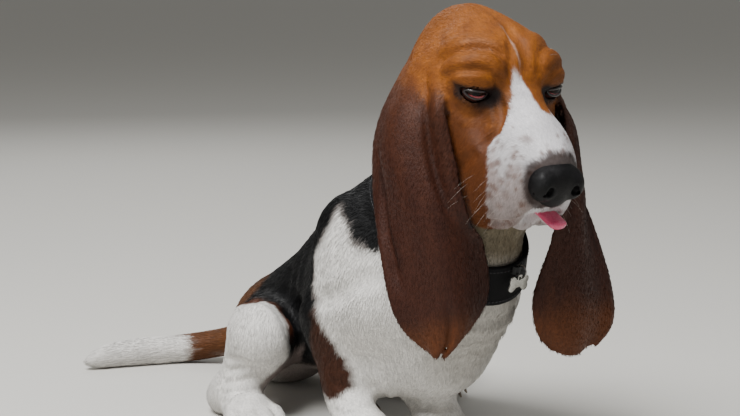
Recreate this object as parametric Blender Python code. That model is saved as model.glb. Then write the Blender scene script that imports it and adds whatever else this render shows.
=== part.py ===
"""A sitting basset hound, life size, as a still display model: flesh in named sections, with its
ears, eyes, nose, tongue, claws, collar and tag as pieces of their own.

Run it with: blender --background --python part.py
Metres, +Z up. The hound faces -Y, so its right side is at -X. The origin is on the floor, under
the middle of the model's box.

The flesh is described as a set of rounded masses (rib cage, thigh, flew, and so on) that melt into
one another. They are laid into a block of space as distances to the skin, the skin is drawn from
it as one closed mesh, and thin cuts then part that mesh into the sections a person would name.
"""

import math

import bmesh
import bpy
import numpy as np
import openvdb
from mathutils import Matrix, Vector
from mathutils.bvhtree import BVHTree

# Driving dimensions, in metres. Y and Z are measured from the floor under the forefeet.
GAP = 0.0003
FINE_STEP = 0.0025
FAR = 0.06
SOCKET = 1.3 * GAP

EYES_AT = Vector((0.0, -0.167, 0.371))
HEAD_PITCH = math.radians(23)
EYE_SPACING = 0.083
EYE_RADIUS = 0.0115
EYE_DEPTH = -0.002

# Each foot: the side it is on, the middle of its sole, how far it turns out in degrees, its size.
FEET = {
    "fore_right": (-1, (-0.073, -0.022, 0), 12, 1.08),
    "fore_left": (1, (0.010, -0.030, 0), 6, 1.08),
    "hind_right": (-1, (-0.131, 0.120, 0), 10, 1.0),
    "hind_left": (1, (0.110, 0.158, 0), 4, 1.0),
}
WRISTS = {"fore_right": (-0.073, 0.008, 0.050), "fore_left": (0.018, -0.002, 0.052)}
LEFT_HIND_BACK = 0.036
CLAW_RADIUS = 0.0032
CLAW_LENGTH = 0.014

# Each row crosses the ear from its rear edge over the middle to its front edge, from root to tip.
EAR_ROWS = {
    "right": (
        ((-0.048, -0.055, 0.380), (-0.054, -0.095, 0.388), (-0.050, -0.132, 0.381)),
        ((-0.070, -0.055, 0.350), (-0.084, -0.105, 0.354), (-0.058, -0.150, 0.352)),
        ((-0.086, -0.062, 0.315), (-0.096, -0.115, 0.312), (-0.055, -0.160, 0.314)),
        ((-0.096, -0.080, 0.270), (-0.092, -0.133, 0.265), (-0.046, -0.168, 0.272)),
        ((-0.101, -0.100, 0.222), (-0.080, -0.150, 0.222), (-0.025, -0.162, 0.230)),
        ((-0.101, -0.115, 0.175), (-0.065, -0.160, 0.175), (-0.010, -0.152, 0.180)),
        ((-0.093, -0.124, 0.148), (-0.060, -0.156, 0.144), (-0.027, -0.150, 0.147)),
        ((-0.075, -0.136, 0.126), (-0.065, -0.147, 0.121), (-0.053, -0.148, 0.125)),
    ),
    "left": (
        ((0.048, -0.055, 0.380), (0.054, -0.095, 0.388), (0.050, -0.132, 0.381)),
        ((0.073, -0.058, 0.352), (0.088, -0.110, 0.354), (0.058, -0.150, 0.352)),
        ((0.094, -0.078, 0.315), (0.101, -0.125, 0.312), (0.058, -0.160, 0.314)),
        ((0.112, -0.105, 0.270), (0.100, -0.148, 0.265), (0.052, -0.166, 0.268)),
        ((0.126, -0.125, 0.222), (0.092, -0.160, 0.222), (0.050, -0.160, 0.225)),
        ((0.142, -0.135, 0.170), (0.092, -0.163, 0.170), (0.038, -0.150, 0.172)),
        ((0.143, -0.140, 0.134), (0.090, -0.160, 0.128), (0.044, -0.148, 0.134)),
        ((0.122, -0.142, 0.113), (0.091, -0.152, 0.107), (0.062, -0.147, 0.113)),
    ),
}
EAR_THICKNESS = 0.0060
EAR_PROFILE = (
    (0, 0), (0.04, 0.6), (0.14, 0.9), (0.3, 1), (0.5, 1), (0.7, 1), (0.86, 0.9), (0.96, 0.6), (1, 0)
)

COLLAR_CENTRE = Vector((0, -0.067, 0.249))
COLLAR_UP = Vector((0, -0.644, 0.767)).normalized()
COLLAR_HEIGHT = 0.034
COLLAR_THICKNESS = 0.0035
COLLAR_SLACK = 0.0012
KEEPER = Vector((0.010, 0.0040, 0.007))
TAG_SIDE = 0.020
TAG_HEIGHT = 0.198
TAG_RING_RADIUS = 0.0065
TAG_WIRE = 0.0008
TAG_THICKNESS = 0.0016
TAG_HALF_LENGTH = 0.009
TAG_BAR = 0.007
TAG_KNOB = 0.0045
TAG_LUG = 0.0028
TAG_HOLE = 0.0016

# How many triangles describe each piece that is drawn from distances.
TRIANGLES = {"body": 4600, "nose": 520, "lower_jaw": 260, "tongue": 140}

# Where the flesh is parted: flat cuts as (centre, normal, radius), and round a limb's root an
# egg-shaped one as (centre, half lengths, yaw in degrees).
HEAD_CUT = ((0, -0.078, 0.305), (0, -0.74, 0.67), 0.115)
NECK_CUT = ((0, -0.046, 0.216), (0, -0.6, 0.8), 0.125)
TAIL_CUT = ((-0.005, 0.368, 0.036), (-0.3, 0.9, -0.3), 0.040)
LIMB_CUTS = (
    ((-0.083, -0.012, 0), (0.054, 0.098, 0.124), 0),
    ((0.026, -0.012, 0), (0.062, 0.114, 0.124), 0),
    ((-0.117, 0.175, 0), (0.062, 0.150, 0.140), -18),
    ((0.103, 0.212, 0), (0.062, 0.150, 0.140), 14),
)
FOREPAW_CUT = (Vector((0, 0.018, 0.037)), (0, 0, 1), 0.046)
HINDPAW_CUT = (Vector((0, -0.004, 0.016)), (0, 1, 0), 0.036)

# About where the middle of each section of the flesh lies.
SECTIONS = {
    "head": (0, -0.14, 0.345),
    "neck": (0, -0.07, 0.26),
    "torso": (0, 0.10, 0.13),
    "tail": (-0.08, 0.42, 0.02),
    "foreleg_right": (-0.077, 0.02, 0.08),
    "foreleg_left": (0.035, 0.010, 0.08),
    "forepaw_right": (-0.073, -0.025, 0.018),
    "forepaw_left": (0.010, -0.035, 0.018),
    "hindleg_right": (-0.095, 0.19, 0.07),
    "hindleg_left": (0.095, 0.23, 0.07),
    "hindpaw_right": (-0.131, 0.11, 0.018),
    "hindpaw_left": (0.110, 0.15, 0.018),
}

# Base colour, roughness and metallic of each kind of piece.
COLOURS = {
    "head": ((0.45, 0.17, 0.06), 0.8, 0.0),
    "neck": ((0.75, 0.70, 0.63), 0.8, 0.0),
    "torso": ((0.75, 0.70, 0.63), 0.8, 0.0),
    "tail": ((0.75, 0.70, 0.63), 0.8, 0.0),
    "fore": ((0.75, 0.70, 0.63), 0.8, 0.0),
    "hind": ((0.75, 0.70, 0.63), 0.8, 0.0),
    "ear": ((0.20, 0.06, 0.03), 0.8, 0.0),
    "eye": ((0.05, 0.02, 0.01), 0.1, 0.0),
    "nose": ((0.02, 0.02, 0.02), 0.4, 0.0),
    "lower_jaw": ((0.75, 0.66, 0.58), 0.8, 0.0),
    "tongue": ((0.75, 0.25, 0.28), 0.4, 0.0),
    "claw": ((0.20, 0.16, 0.12), 0.5, 0.0),
    "dewclaw": ((0.20, 0.16, 0.12), 0.5, 0.0),
    "collar": ((0.02, 0.02, 0.02), 0.9, 0.0),
    "collar_keeper": ((0.02, 0.02, 0.02), 0.9, 0.0),
    "tag_ring": ((0.60, 0.60, 0.60), 0.3, 1.0),
    "tag": ((0.62, 0.62, 0.62), 0.4, 1.0),
}


class Flesh:
    """A block of space. Each point of its grid holds the distance to the skin, negative inside."""

    def __init__(self, low, high, step):
        self.low, self.step = np.array(low, np.float32), step
        self.lines = [np.arange(a, b, step, dtype=np.float32) for a, b in zip(low, high)]
        self.value = np.full([len(line) for line in self.lines], FAR, np.float32)

    def window(self, low, high):
        """The slices of the grid between two corners, and their points as three arrays."""
        cut = tuple(
            slice(*np.searchsorted(line, (a, b))) for line, a, b in zip(self.lines, low, high)
        )
        points = [
            line[c].reshape([-1 if i == axis else 1 for i in range(3)])
            for axis, (line, c) in enumerate(zip(self.lines, cut))
        ]
        return cut, points

    def melt(self, mass, soft):
        """Adds a mass, with a fillet about as wide as soft where it meets what is there."""
        distance, low, high = mass
        margin = soft + 2 * self.step
        cut, points = self.window(low - margin, high + margin)
        here = self.value[cut]
        there = distance(*points)
        mix = np.clip(0.5 + 0.5 * (here - there) / soft, 0, 1)
        self.value[cut] = here + (there - here) * mix - soft * mix * (1 - mix)

    def carve(self, mass, soft):
        """Takes a mass away, with its rim rounded by about soft."""
        distance, low, high = mass
        margin = soft + 2 * self.step
        cut, points = self.window(low - margin, high + margin)
        here = self.value[cut]
        there = -distance(*points)
        mix = np.clip(0.5 - 0.5 * (here - there) / soft, 0, 1)
        self.value[cut] = here + (there - here) * mix + soft * mix * (1 - mix)

    def skin(self, name, off=0.0):
        """The skin, or a surface a little off it, as a closed mesh object."""
        grid = openvdb.FloatGrid(FAR)
        grid.copyFromArray(self.value)
        points, quads = grid.convertToQuads(isovalue=off)
        mesh = bpy.data.meshes.new(name)
        mesh.from_pydata((points * self.step + self.low).tolist(), [], quads.tolist())
        mesh.validate()
        return linked(name, mesh)


def linked(name, mesh):
    obj = bpy.data.objects.new(name, mesh)
    bpy.context.scene.collection.objects.link(obj)
    return obj


def ball(centre, radii, turn=None):
    """An egg with its half lengths along three axes; turn is the matrix that tilts those axes."""
    centre, radii = np.array(centre, float), np.array(radii, float)
    turn = np.array(turn or Matrix.Identity(3), float)
    reach = np.sqrt(((turn * radii) ** 2).sum(1))

    def distance(x, y, z):
        x, y, z = x - centre[0], y - centre[1], z - centre[2]
        near = far = 0
        for axis, radius in zip(turn.T, radii):
            along = (x * axis[0] + y * axis[1] + z * axis[2]) / radius
            near = near + along**2
            far = far + (along / radius) ** 2
        near = np.sqrt(near) + 1e-6
        return near * (near - 1) / (np.sqrt(far) + 1e-6)

    return distance, centre - reach, centre + reach


def smooth_line(stations, count):
    """Points on a smooth curve through the stations, which hold a place and the sizes there."""
    stations = np.array(stations, float)
    ends = np.vstack([2 * stations[0] - stations[1], stations, 2 * stations[-1] - stations[-2]])
    made = []
    for a, b, c, d in zip(ends, ends[1:], ends[2:], ends[3:]):
        for t in np.arange(count) / count:
            made.append(
                b
                + 0.5 * t * (c - a)
                + t**2 * (a - 2.5 * b + 2 * c - 0.5 * d)
                + t**3 * (1.5 * (b - c) + 0.5 * (d - a))
            )
    return np.array([*made, stations[-1]])


def limb(*stations, count=5):
    """A rounded rod through stations of (x, y, z, radius), or (x, y, z, radius, width), where width
    is how many times wider than deep it is across X."""
    line = [(*station, 1.0)[:5] for station in stations]
    line = smooth_line(line, count)
    reach = (line[:, 3] * np.maximum(line[:, 4], 1))[:, None]
    low, high = (line[:, :3] - reach).min(0), (line[:, :3] + reach).max(0)

    def distance(x, y, z):
        nearest = None
        for a, b in zip(line, line[1:]):
            step = b[:3] - a[:3]
            long = (step**2).sum() + 1e-12
            t = ((x - a[0]) * step[0] + (y - a[1]) * step[1] + (z - a[2]) * step[2]) / long
            t = np.clip(t, 0, 1)
            width = a[4] + t * (b[4] - a[4])
            off = ((x - a[0] - t * step[0]) / width) ** 2
            off = off + (y - a[1] - t * step[1]) ** 2 + (z - a[2] - t * step[2]) ** 2
            here = np.sqrt(off) - (a[3] + t * (b[3] - a[3]))
            nearest = here if nearest is None else np.minimum(nearest, here)
        return nearest

    return distance, low, high


def tilt(pitch=0.0, yaw=0.0, roll=0.0):
    """A turn in degrees: pitch lifts +Y, yaw turns about the vertical, roll leans about Y."""
    return (
        Matrix.Rotation(math.radians(yaw), 3, "Z")
        @ Matrix.Rotation(math.radians(pitch), 3, "X")
        @ Matrix.Rotation(math.radians(roll), 3, "Y")
    )


def in_head(side, forward, up):
    """A place in the head: out to the left, forward along the muzzle and up, from between the eyes."""
    ahead = Vector((0, -math.cos(HEAD_PITCH), -math.sin(HEAD_PITCH)))
    above = Vector((0, -math.sin(HEAD_PITCH), math.cos(HEAD_PITCH)))
    return EYES_AT + Vector((side, 0, 0)) + forward * ahead + up * above


HEAD_TURN = tilt(pitch=math.degrees(HEAD_PITCH))


def head_ball(side, forward, up, radii, pitch=0.0, yaw=0.0, roll=0.0):
    """A mass of the head: radii are its half width, half length and half height."""
    return ball(in_head(side, forward, up), radii, HEAD_TURN @ tilt(pitch, yaw, roll))


def head_limb(*stations):
    """A rod in the head, through stations of (side, forward, up, radius) and perhaps a width."""
    return limb(*[(*in_head(*station[:3]), *station[3:]) for station in stations])


def torso(flesh):
    flesh.melt(ball((0, 0.045, 0.150), (0.086, 0.120, 0.088), tilt(pitch=-28)), 0.03)
    flesh.melt(ball((0, -0.050, 0.158), (0.066, 0.070, 0.080)), 0.05)
    flesh.melt(ball((0, -0.012, 0.098), (0.046, 0.075, 0.050)), 0.04)
    flesh.melt(
        limb(
            (0, 0.12, 0.112, 0.062, 1.1),
            (0, 0.20, 0.086, 0.054, 1.05),
            (0, 0.28, 0.064, 0.046, 1.05),
        ),
        0.04,
    )
    flesh.melt(
        limb(
            (0, 0.02, 0.224, 0.045),
            (0, 0.10, 0.190, 0.043),
            (0, 0.20, 0.131, 0.041),
            (0, 0.30, 0.082, 0.034),
            (0, 0.325, 0.066, 0.030),
        ),
        0.05,
    )
    flesh.melt(ball((0, 0.295, 0.052), (0.054, 0.074, 0.056), tilt(pitch=-12)), 0.03)


def neck(flesh):
    flesh.melt(
        limb(
            (0, -0.010, 0.195, 0.078),
            (0, -0.052, 0.250, 0.064),
            (0, -0.075, 0.310, 0.060),
            (0, -0.082, 0.350, 0.058),
        ),
        0.05,
    )
    flesh.melt(
        limb(
            (0, -0.142, 0.262, 0.022, 1.55),
            (0, -0.122, 0.215, 0.026, 1.45),
            (0, -0.100, 0.160, 0.030, 1.2),
        ),
        0.04,
    )


def skull(flesh):
    flesh.melt(head_ball(0, -0.060, -0.014, (0.056, 0.070, 0.044)), 0.03)
    crest = head_limb((0, -0.100, 0.010, 0.024), (0, -0.062, 0.018, 0.022), (0, -0.022, 0.010, 0.022))
    flesh.melt(crest, 0.03)
    flesh.melt(head_limb((0, -0.02, -0.012, 0.030), (0, 0.04, -0.022, 0.024), (0, 0.076, -0.036, 0.022)), 0.03)
    for side in (-1, 1):
        flesh.melt(head_ball(side * 0.036, -0.012, 0.014, (0.025, 0.021, 0.014), roll=side * 12), 0.02)
        flesh.melt(head_ball(side * 0.042, -0.040, -0.045, (0.028, 0.050, 0.044)), 0.03)
        flesh.melt(head_ball(side * 0.022, 0.042, -0.066, (0.020, 0.050, 0.050), pitch=4), 0.02)
        flesh.melt(head_ball(side * 0.035, 0.014, -0.084, (0.016, 0.042, 0.043), roll=side * 8), 0.022)
    flesh.melt(head_ball(0, 0.070, -0.052, (0.025, 0.022, 0.025)), 0.010)
    flesh.melt(head_ball(0, 0.067, -0.072, (0.024, 0.027, 0.013)), 0.012)
    for side in (-1, 1):
        socket = (side * EYE_SPACING / 2, EYE_DEPTH + 0.003, -0.001)
        flesh.carve(head_ball(*socket, (0.0135, 0.0135, 0.011)), 0.005)
        inner = (side * 0.0300, 0.0090, 0.0000, 0.0030)
        outer = (side * 0.0545, -0.0060, -0.0040, 0.0035)
        flesh.melt(head_limb(inner, (side * 0.0415, 0.0085, 0.0078, 0.0042), outer), 0.003)
        flesh.melt(head_limb(inner, (side * 0.0430, 0.0070, -0.0125, 0.0036), outer), 0.003)


def foreleg(flesh, side, wrist, foot):
    flesh.melt(ball((side * 0.070, 0.010, 0.185), (0.030, 0.050, 0.068), tilt(pitch=-15)), 0.03)
    flesh.melt(limb((side * 0.060, -0.034, 0.155, 0.034), (side * 0.074, 0.030, 0.130, 0.030)), 0.03)
    wide = Vector((side * 0.077, 0.032, 0.128))
    low = wide.lerp(Vector(wrist), 0.55)
    flesh.melt(limb((*wide, 0.031), (*low, 0.0275), (*wrist, 0.0255), (*foot[:2], 0.026, 0.025)), 0.025)


def toes(side, centre, heading, size):
    """The root, knuckle and tip of each toe of a foot; heading turns the foot outwards, in degrees."""
    turn = tilt(yaw=side * heading)
    for across, ahead in ((-0.0215, 0.018), (-0.0075, 0.030), (0.0075, 0.030), (0.0215, 0.018)):
        yield [
            Vector(centre) + turn @ Vector(place)
            for place in (
                (across * 0.7 * size, 0, 0.019),
                (across * size, -ahead * size, 0.0175),
                (across * 1.1 * size, -(ahead + 0.013) * size, 0.009),
            )
        ]


def paw(flesh, side, centre, heading, size):
    middle = Vector(centre) + Vector((0, 0, 0.015))
    flesh.melt(ball(middle, (0.027 * size, 0.030 * size, 0.018), tilt(yaw=side * heading)), 0.012)
    for root, knuckle, tip in toes(side, centre, heading, size):
        flesh.melt(limb((*root, 0.0100), (*knuckle, 0.0110), (*tip, 0.0095), count=3), 0.004)


def hindleg(flesh, side, back, foot):
    flesh.melt(
        limb(
            (side * 0.036, 0.268 + back, 0.068, 0.041),
            (side * 0.073, 0.195 + back, 0.080, 0.044),
            (side * 0.106, 0.134 + back, 0.094, 0.033),
        ),
        0.014,
    )
    flesh.melt(
        limb(
            (side * 0.106, 0.138 + back, 0.092, 0.033),
            (side * 0.114, 0.158 + back, 0.055, 0.028),
            (side * 0.122, 0.186 + back, 0.024, 0.020),
        ),
        0.02,
    )
    flesh.melt(
        limb(
            (side * 0.125, 0.194 + back, 0.016, 0.018),
            (side * 0.128, 0.165 + back, 0.024, 0.021),
            (*foot[:2], 0.020, 0.022),
        ),
        0.02,
    )


def tail(flesh):
    flesh.melt(
        limb(
            (0, 0.335, 0.050, 0.026),
            (-0.015, 0.385, 0.032, 0.0185),
            (-0.065, 0.430, 0.018, 0.0175),
            (-0.130, 0.448, 0.016, 0.0170),
            (-0.166, 0.451, 0.014, 0.0135),
            (-0.182, 0.451, 0.011, 0.0080),
        ),
        0.02,
    )


def ear_leather(rows, flesh):
    """A hanging ear as a closed thick sheet, held clear of the flesh everywhere but at its root."""
    across = [smooth_line(row, 4) for row in rows]
    middle = np.array([smooth_line(column, 2) for column in np.swapaxes(across, 0, 1)])
    middle = np.swapaxes(middle, 0, 1)
    along = np.linspace(0, 1, len(middle))[:, None]
    wanted = np.clip(-0.02 + 0.16 * along, -0.02, 0.7 * EAR_THICKNESS) * np.ones(middle.shape[:2])
    for _ in range(6):
        middle = pushed_clear(middle, flesh, wanted)
    down, over = np.gradient(middle, axis=0), np.gradient(middle, axis=1)
    normal = np.cross(down, over)
    normal /= np.linalg.norm(normal, axis=2)[:, :, None]
    spots = np.array([spot for spot, _ in EAR_PROFILE]) * (middle.shape[1] - 1)
    depth = np.array([deep for _, deep in EAR_PROFILE]) * EAR_THICKNESS / 2
    rings = []
    for line, facing in zip(middle, normal):
        centre = np.array([np.interp(spots, range(len(line)), part) for part in line.T]).T
        out = np.array([np.interp(spots, range(len(line)), part) for part in facing.T]).T
        rings.append(np.vstack([centre + out * depth[:, None], (centre - out * depth[:, None])[-2:0:-1]]))
    return tube(rings)


def tube(rings, closed=False):
    """A mesh through rings of points: a cap on each end, or closed into a loop."""
    mesh = bmesh.new()
    made = [[mesh.verts.new(point) for point in ring] for ring in rings]
    for ring, following in zip(made, made[1:] + made[:1] if closed else made[1:]):
        for i in range(len(ring)):
            mesh.faces.new((ring[i - 1], ring[i], following[i], following[i - 1]))
    if not closed:
        mesh.faces.new(made[0])
        mesh.faces.new(made[-1][::-1])
    bmesh.ops.recalc_face_normals(mesh, faces=mesh.faces)
    return mesh


def sampled(flesh, points):
    """The distance to the skin at each of the points."""
    place = (points - flesh.low) / flesh.step
    whole = np.clip(np.floor(place).astype(int), 0, np.array(flesh.value.shape) - 2)
    part = np.clip(place - whole, 0, 1)
    total = 0
    for corner in np.ndindex(2, 2, 2):
        share = np.prod(np.where(corner, part, 1 - part), axis=-1)
        total = total + share * flesh.value[tuple(np.moveaxis(whole + corner, -1, 0))]
    return total


def pushed_clear(points, flesh, wanted):
    """Moves points out of the flesh until each is as far off as wanted."""
    slope = np.stack(
        [
            sampled(flesh, points + step) - sampled(flesh, points - step)
            for step in np.eye(3) * flesh.step
        ],
        axis=-1,
    )
    slope /= np.linalg.norm(slope, axis=-1, keepdims=True) + 1e-9
    short = np.clip(wanted - sampled(flesh, points), 0, 0.01)
    return points + slope * short[..., None]


def whole_body():
    flesh = Flesh((-0.23, -0.30, -0.02), (0.19, 0.49, 0.47), FINE_STEP)
    torso(flesh)
    neck(flesh)
    skull(flesh)
    for side, which in ((-1, "fore_right"), (1, "fore_left")):
        foreleg(flesh, side, WRISTS[which], FEET[which][1])
    hindleg(flesh, -1, 0, FEET["hind_right"][1])
    hindleg(flesh, 1, LEFT_HIND_BACK, FEET["hind_left"][1])
    for foot in FEET.values():
        paw(flesh, *foot)
    tail(flesh)
    return flesh


def from_bmesh(name, made):
    mesh = bpy.data.meshes.new(name)
    made.to_mesh(mesh)
    made.free()
    return linked(name, mesh)


def joined(name, parts):
    """One object from several that do not touch one another."""
    mesh = bmesh.new()
    for part in parts:
        mesh.from_mesh(part.data)
        bpy.data.objects.remove(part)
    return from_bmesh(name, mesh)


def minus(obj, cutter):
    """Takes the cutter away from the object."""
    cutter.hide_render = True
    cutter.display_type = "WIRE"
    cut = obj.modifiers.new("cut", "BOOLEAN")
    cut.operation, cut.solver, cut.object = "DIFFERENCE", "EXACT", cutter
    whole = bpy.context.evaluated_depsgraph_get()
    obj.data = bpy.data.meshes.new_from_object(obj.evaluated_get(whole))
    obj.modifiers.clear()
    bpy.data.objects.remove(cutter)
    return obj


def thinned(obj, triangles):
    """The same shape with about so many triangles."""
    thin = obj.modifiers.new("thin", "DECIMATE")
    thin.ratio = min(1.0, triangles / (2 * len(obj.data.polygons)))
    whole = bpy.context.evaluated_depsgraph_get()
    obj.data = bpy.data.meshes.new_from_object(obj.evaluated_get(whole))
    obj.modifiers.clear()
    return obj


def box(low, high):
    mesh = bmesh.new()
    low, high = Vector(low), Vector(high)
    size = Matrix.Diagonal((*(high - low), 1))
    bmesh.ops.create_cube(mesh, size=1, matrix=Matrix.Translation((low + high) / 2) @ size)
    return from_bmesh("cutter", mesh)


def disc(centre, normal, radius):
    """A round blade as thin as the gap between two neighbours."""
    mesh = bmesh.new()
    turn = Vector(normal).to_track_quat("Z", "Y").to_matrix().to_4x4()
    bmesh.ops.create_cone(
        mesh,
        cap_ends=True,
        segments=24,
        radius1=radius,
        radius2=radius,
        depth=GAP,
        matrix=Matrix.Translation(centre) @ turn,
    )
    return from_bmesh("cutter", mesh)


def egg_shell(centre, radii, turn):
    """A hollow egg with a wall as thin as the gap: it parts what is inside it from what is outside."""
    mesh = bmesh.new()
    place = Matrix.Translation(centre) @ turn.to_4x4()
    for grown in (GAP, 0):
        size = Matrix.Diagonal((*(radius + grown for radius in radii), 1))
        made = bmesh.ops.create_uvsphere(mesh, u_segments=16, v_segments=10, radius=1, matrix=place @ size)
    inner = {face for vert in made["verts"] for face in vert.link_faces}
    bmesh.ops.reverse_faces(mesh, faces=list(inner))
    return from_bmesh("cutter", mesh)


def block(middle, reach, step):
    """An empty block of space round a place in the head."""
    middle, reach = in_head(*middle), Vector(reach)
    return Flesh(middle - reach, middle + reach, step)


def nose_leather():
    """The leather of the nose, with its nostrils, in a finer block of its own."""
    leather = block((0, 0.09, -0.048), (0.04, 0.04, 0.04), 0.0011)
    leather.melt(head_ball(0, 0.091, -0.046, (0.0250, 0.0175, 0.0190)), 0.004)
    leather.melt(head_ball(0, 0.094, -0.058, (0.014, 0.011, 0.013)), 0.006)
    for side in (-1, 1):
        leather.melt(head_ball(side * 0.0160, 0.096, -0.048, (0.0115, 0.0125, 0.0145)), 0.004)
        leather.carve(head_ball(side * 0.0140, 0.110, -0.049, (0.0046, 0.0088, 0.0058)), 0.003)
        slit = head_limb((side * 0.0155, 0.108, -0.051, 0.0024), (side * 0.0245, 0.098, -0.052, 0.0013))
        leather.carve(slit, 0.002)
    leather.carve(head_limb((0, 0.113, -0.049, 0.0016), (0, 0.109, -0.071, 0.0016)), 0.002)
    return leather


def jaw():
    """The lower jaw and its lip, hanging between the flews."""
    bone = block((0, 0.02, -0.09), (0.04, 0.09, 0.06), 0.002)
    bone.melt(
        head_limb((0, -0.030, -0.088, 0.020), (0, 0.020, -0.096, 0.016, 1.2), (0, 0.058, -0.101, 0.011, 1.3)),
        0.01,
    )
    bone.melt(head_ball(0, 0.064, -0.101, (0.016, 0.012, 0.010)), 0.01)
    return bone


def tongue():
    """The tongue, with its tip between the lips."""
    muscle = block((0.005, 0.08, -0.088), (0.03, 0.04, 0.03), 0.0014)
    root, middle = (0.003, 0.050, -0.086, 0.0045, 2.4), (0.007, 0.080, -0.089, 0.0050, 2.6)
    muscle.melt(head_limb(root, middle, (0.010, 0.101, -0.091, 0.0046, 2.4)), 0.004)
    return muscle


def claw(points, grown=0.0):
    """A curved claw through three points, from root to tip; grown makes it thicker all over."""
    sizes = (CLAW_RADIUS, CLAW_RADIUS * 0.85, CLAW_RADIUS * 0.3)
    line = smooth_line([(*point, size) for point, size in zip(points, sizes)], 2)[[0, 1, 3, 4]]
    ahead = (Vector(line[-1][:3]) - Vector(line[0][:3])).normalized()
    side = ahead.cross(Vector((0, 0, 1))).normalized()
    above = side.cross(ahead)
    rings = []
    for (*centre, size), end in zip(line, (-1, 0, 0, 1)):
        centre = Vector(centre) + ahead * end * grown
        ring = [side * math.cos(turn) * 0.8 + above * math.sin(turn) for turn in np.arange(5) * math.tau / 5]
        rings.append([centre + spoke * float(size + grown) for spoke in ring])
    return tube(rings)


def claws():
    """The place of every claw: its name and the three points it runs through."""
    for foot, (side, centre, heading, size) in FEET.items():
        for i, (root, knuckle, tip) in enumerate(toes(side, centre, heading, size)):
            flat = Vector((tip.x - knuckle.x, tip.y - knuckle.y, 0)).normalized()
            start = tip + flat * 0.003 + Vector((0, 0, 0.003))
            end = start + flat * CLAW_LENGTH - Vector((0, 0, 0.0075))
            yield f"claw_{foot}_{i + 1}", (start, start.lerp(end, 0.62) + Vector((0, 0, 0.003)), end)
    for name, (x, y, z) in WRISTS.items():
        inner = 1 if x < 0 else -1
        start = Vector((x + inner * 0.020, y - 0.012, z - 0.006))
        yield f"dewclaw_{name}", (
            start,
            start + Vector((inner * 0.005, -0.004, -0.007)),
            start + Vector((inner * 0.005, -0.006, -0.014)),
        )


def collar_band(flesh):
    """The band round the neck; each angle has its own radius, found where the skin ends."""
    out = COLLAR_UP.cross(Vector((1, 0, 0)))
    turns = np.arange(36) * math.tau / 36
    reach = np.arange(0.03, 0.13, 0.0005)
    heights = np.linspace(-0.5, 0.5, 5) * COLLAR_HEIGHT
    radii = []
    for turn in turns:
        ray = np.array(Vector((math.cos(turn), 0, 0)) - math.sin(turn) * out)
        rows = np.array(COLLAR_CENTRE) + heights[:, None] * np.array(COLLAR_UP)
        points = rows[:, None] + reach[:, None] * ray
        off = sampled(flesh, points)
        radii.append([reach[np.argmax(line > COLLAR_SLACK)] for line in off])
    radii = np.array(radii)
    slope = np.polyfit(heights, radii.T, 1)
    cone = slope[0][:, None] * heights + slope[1][:, None]
    radii = cone + np.clip(radii - cone, 0, 1).max(1)[:, None]
    for _ in range(2):
        radii = np.maximum(radii, (np.roll(radii, 1, 0) + np.roll(radii, -1, 0)) / 2)
    rings = []
    for turn, inner in zip(turns, radii):
        ray = Vector((math.cos(turn), 0, 0)) - math.sin(turn) * out
        low, high = (COLLAR_CENTRE + COLLAR_UP * heights[i] + ray * inner[i] for i in (0, -1))
        rings.append([low, high, high + ray * COLLAR_THICKNESS, low + ray * COLLAR_THICKNESS])
    return tube(rings, closed=True)


def on_collar(collar):
    """The place and tilt of the tag's fittings: -Y there points straight off the band."""
    faces = [face.vertices for face in collar.data.polygons]
    skin = BVHTree.FromPolygons([vert.co for vert in collar.data.vertices], faces)
    point, normal = skin.ray_cast((TAG_SIDE, 2 * EYES_AT.y, TAG_HEIGHT), (0, 1, 0))[:2]
    across = Vector((0, 0, 1)).cross(-normal).normalized()
    turn = Matrix((-across, -normal, across.cross(normal))).transposed()
    return Matrix.Translation(point) @ turn.to_4x4()


def tag_ring(place):
    """The wire ring that the tag hangs from, standing straight off the band."""
    place = place @ Matrix.Rotation(math.pi / 2, 4, "Y")
    rings = []
    for turn in np.arange(18) * math.tau / 18:
        around, axis = Vector((math.cos(turn), math.sin(turn), 0)), Vector((0, 0, 1))
        wire = [around * math.cos(a) + axis * math.sin(a) for a in np.arange(6) * math.tau / 6]
        rings.append([place @ (around * TAG_RING_RADIUS + spoke * TAG_WIRE) for spoke in wire])
    return tube(rings, closed=True)


def plate(outline, thickness, place):
    """A flat plate cut to an outline, lying in the plane of its own X and Z."""
    mesh = bmesh.new()
    front = mesh.faces.new([mesh.verts.new((x, -thickness / 2, z)) for x, z in outline])
    made = bmesh.ops.extrude_face_region(mesh, geom=[front])
    for vert in made["geom"]:
        if isinstance(vert, bmesh.types.BMVert):
            vert.co.y = thickness / 2
    bmesh.ops.recalc_face_normals(mesh, faces=mesh.faces)
    bmesh.ops.transform(mesh, matrix=place, verts=mesh.verts)
    return mesh


def bone_outline(count=56):
    """The outline of a small bone lying level, seen flat on: two knobs at each end of a bar."""
    outline = []
    for turn in np.arange(count) * math.tau / count:
        ray = np.array((math.cos(turn), math.sin(turn)))
        reach = np.arange(0, 0.02, 0.0001)[:, None] * ray
        inside = (abs(reach[:, 0]) < TAG_HALF_LENGTH) & (abs(reach[:, 1]) < TAG_BAR / 2)
        inside |= (abs(reach[:, 0]) < TAG_LUG) & (reach[:, 1] > 0) & (reach[:, 1] < TAG_BAR / 2 + 2 * TAG_LUG)
        for x in (-1, 1):
            for z in (-1, 1):
                knob = reach - np.array((x * TAG_HALF_LENGTH, z * TAG_KNOB * 0.75))
                inside |= np.hypot(*knob.T) < TAG_KNOB
        outline.append(reach[np.flatnonzero(inside)[-1]])
    return outline


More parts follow.
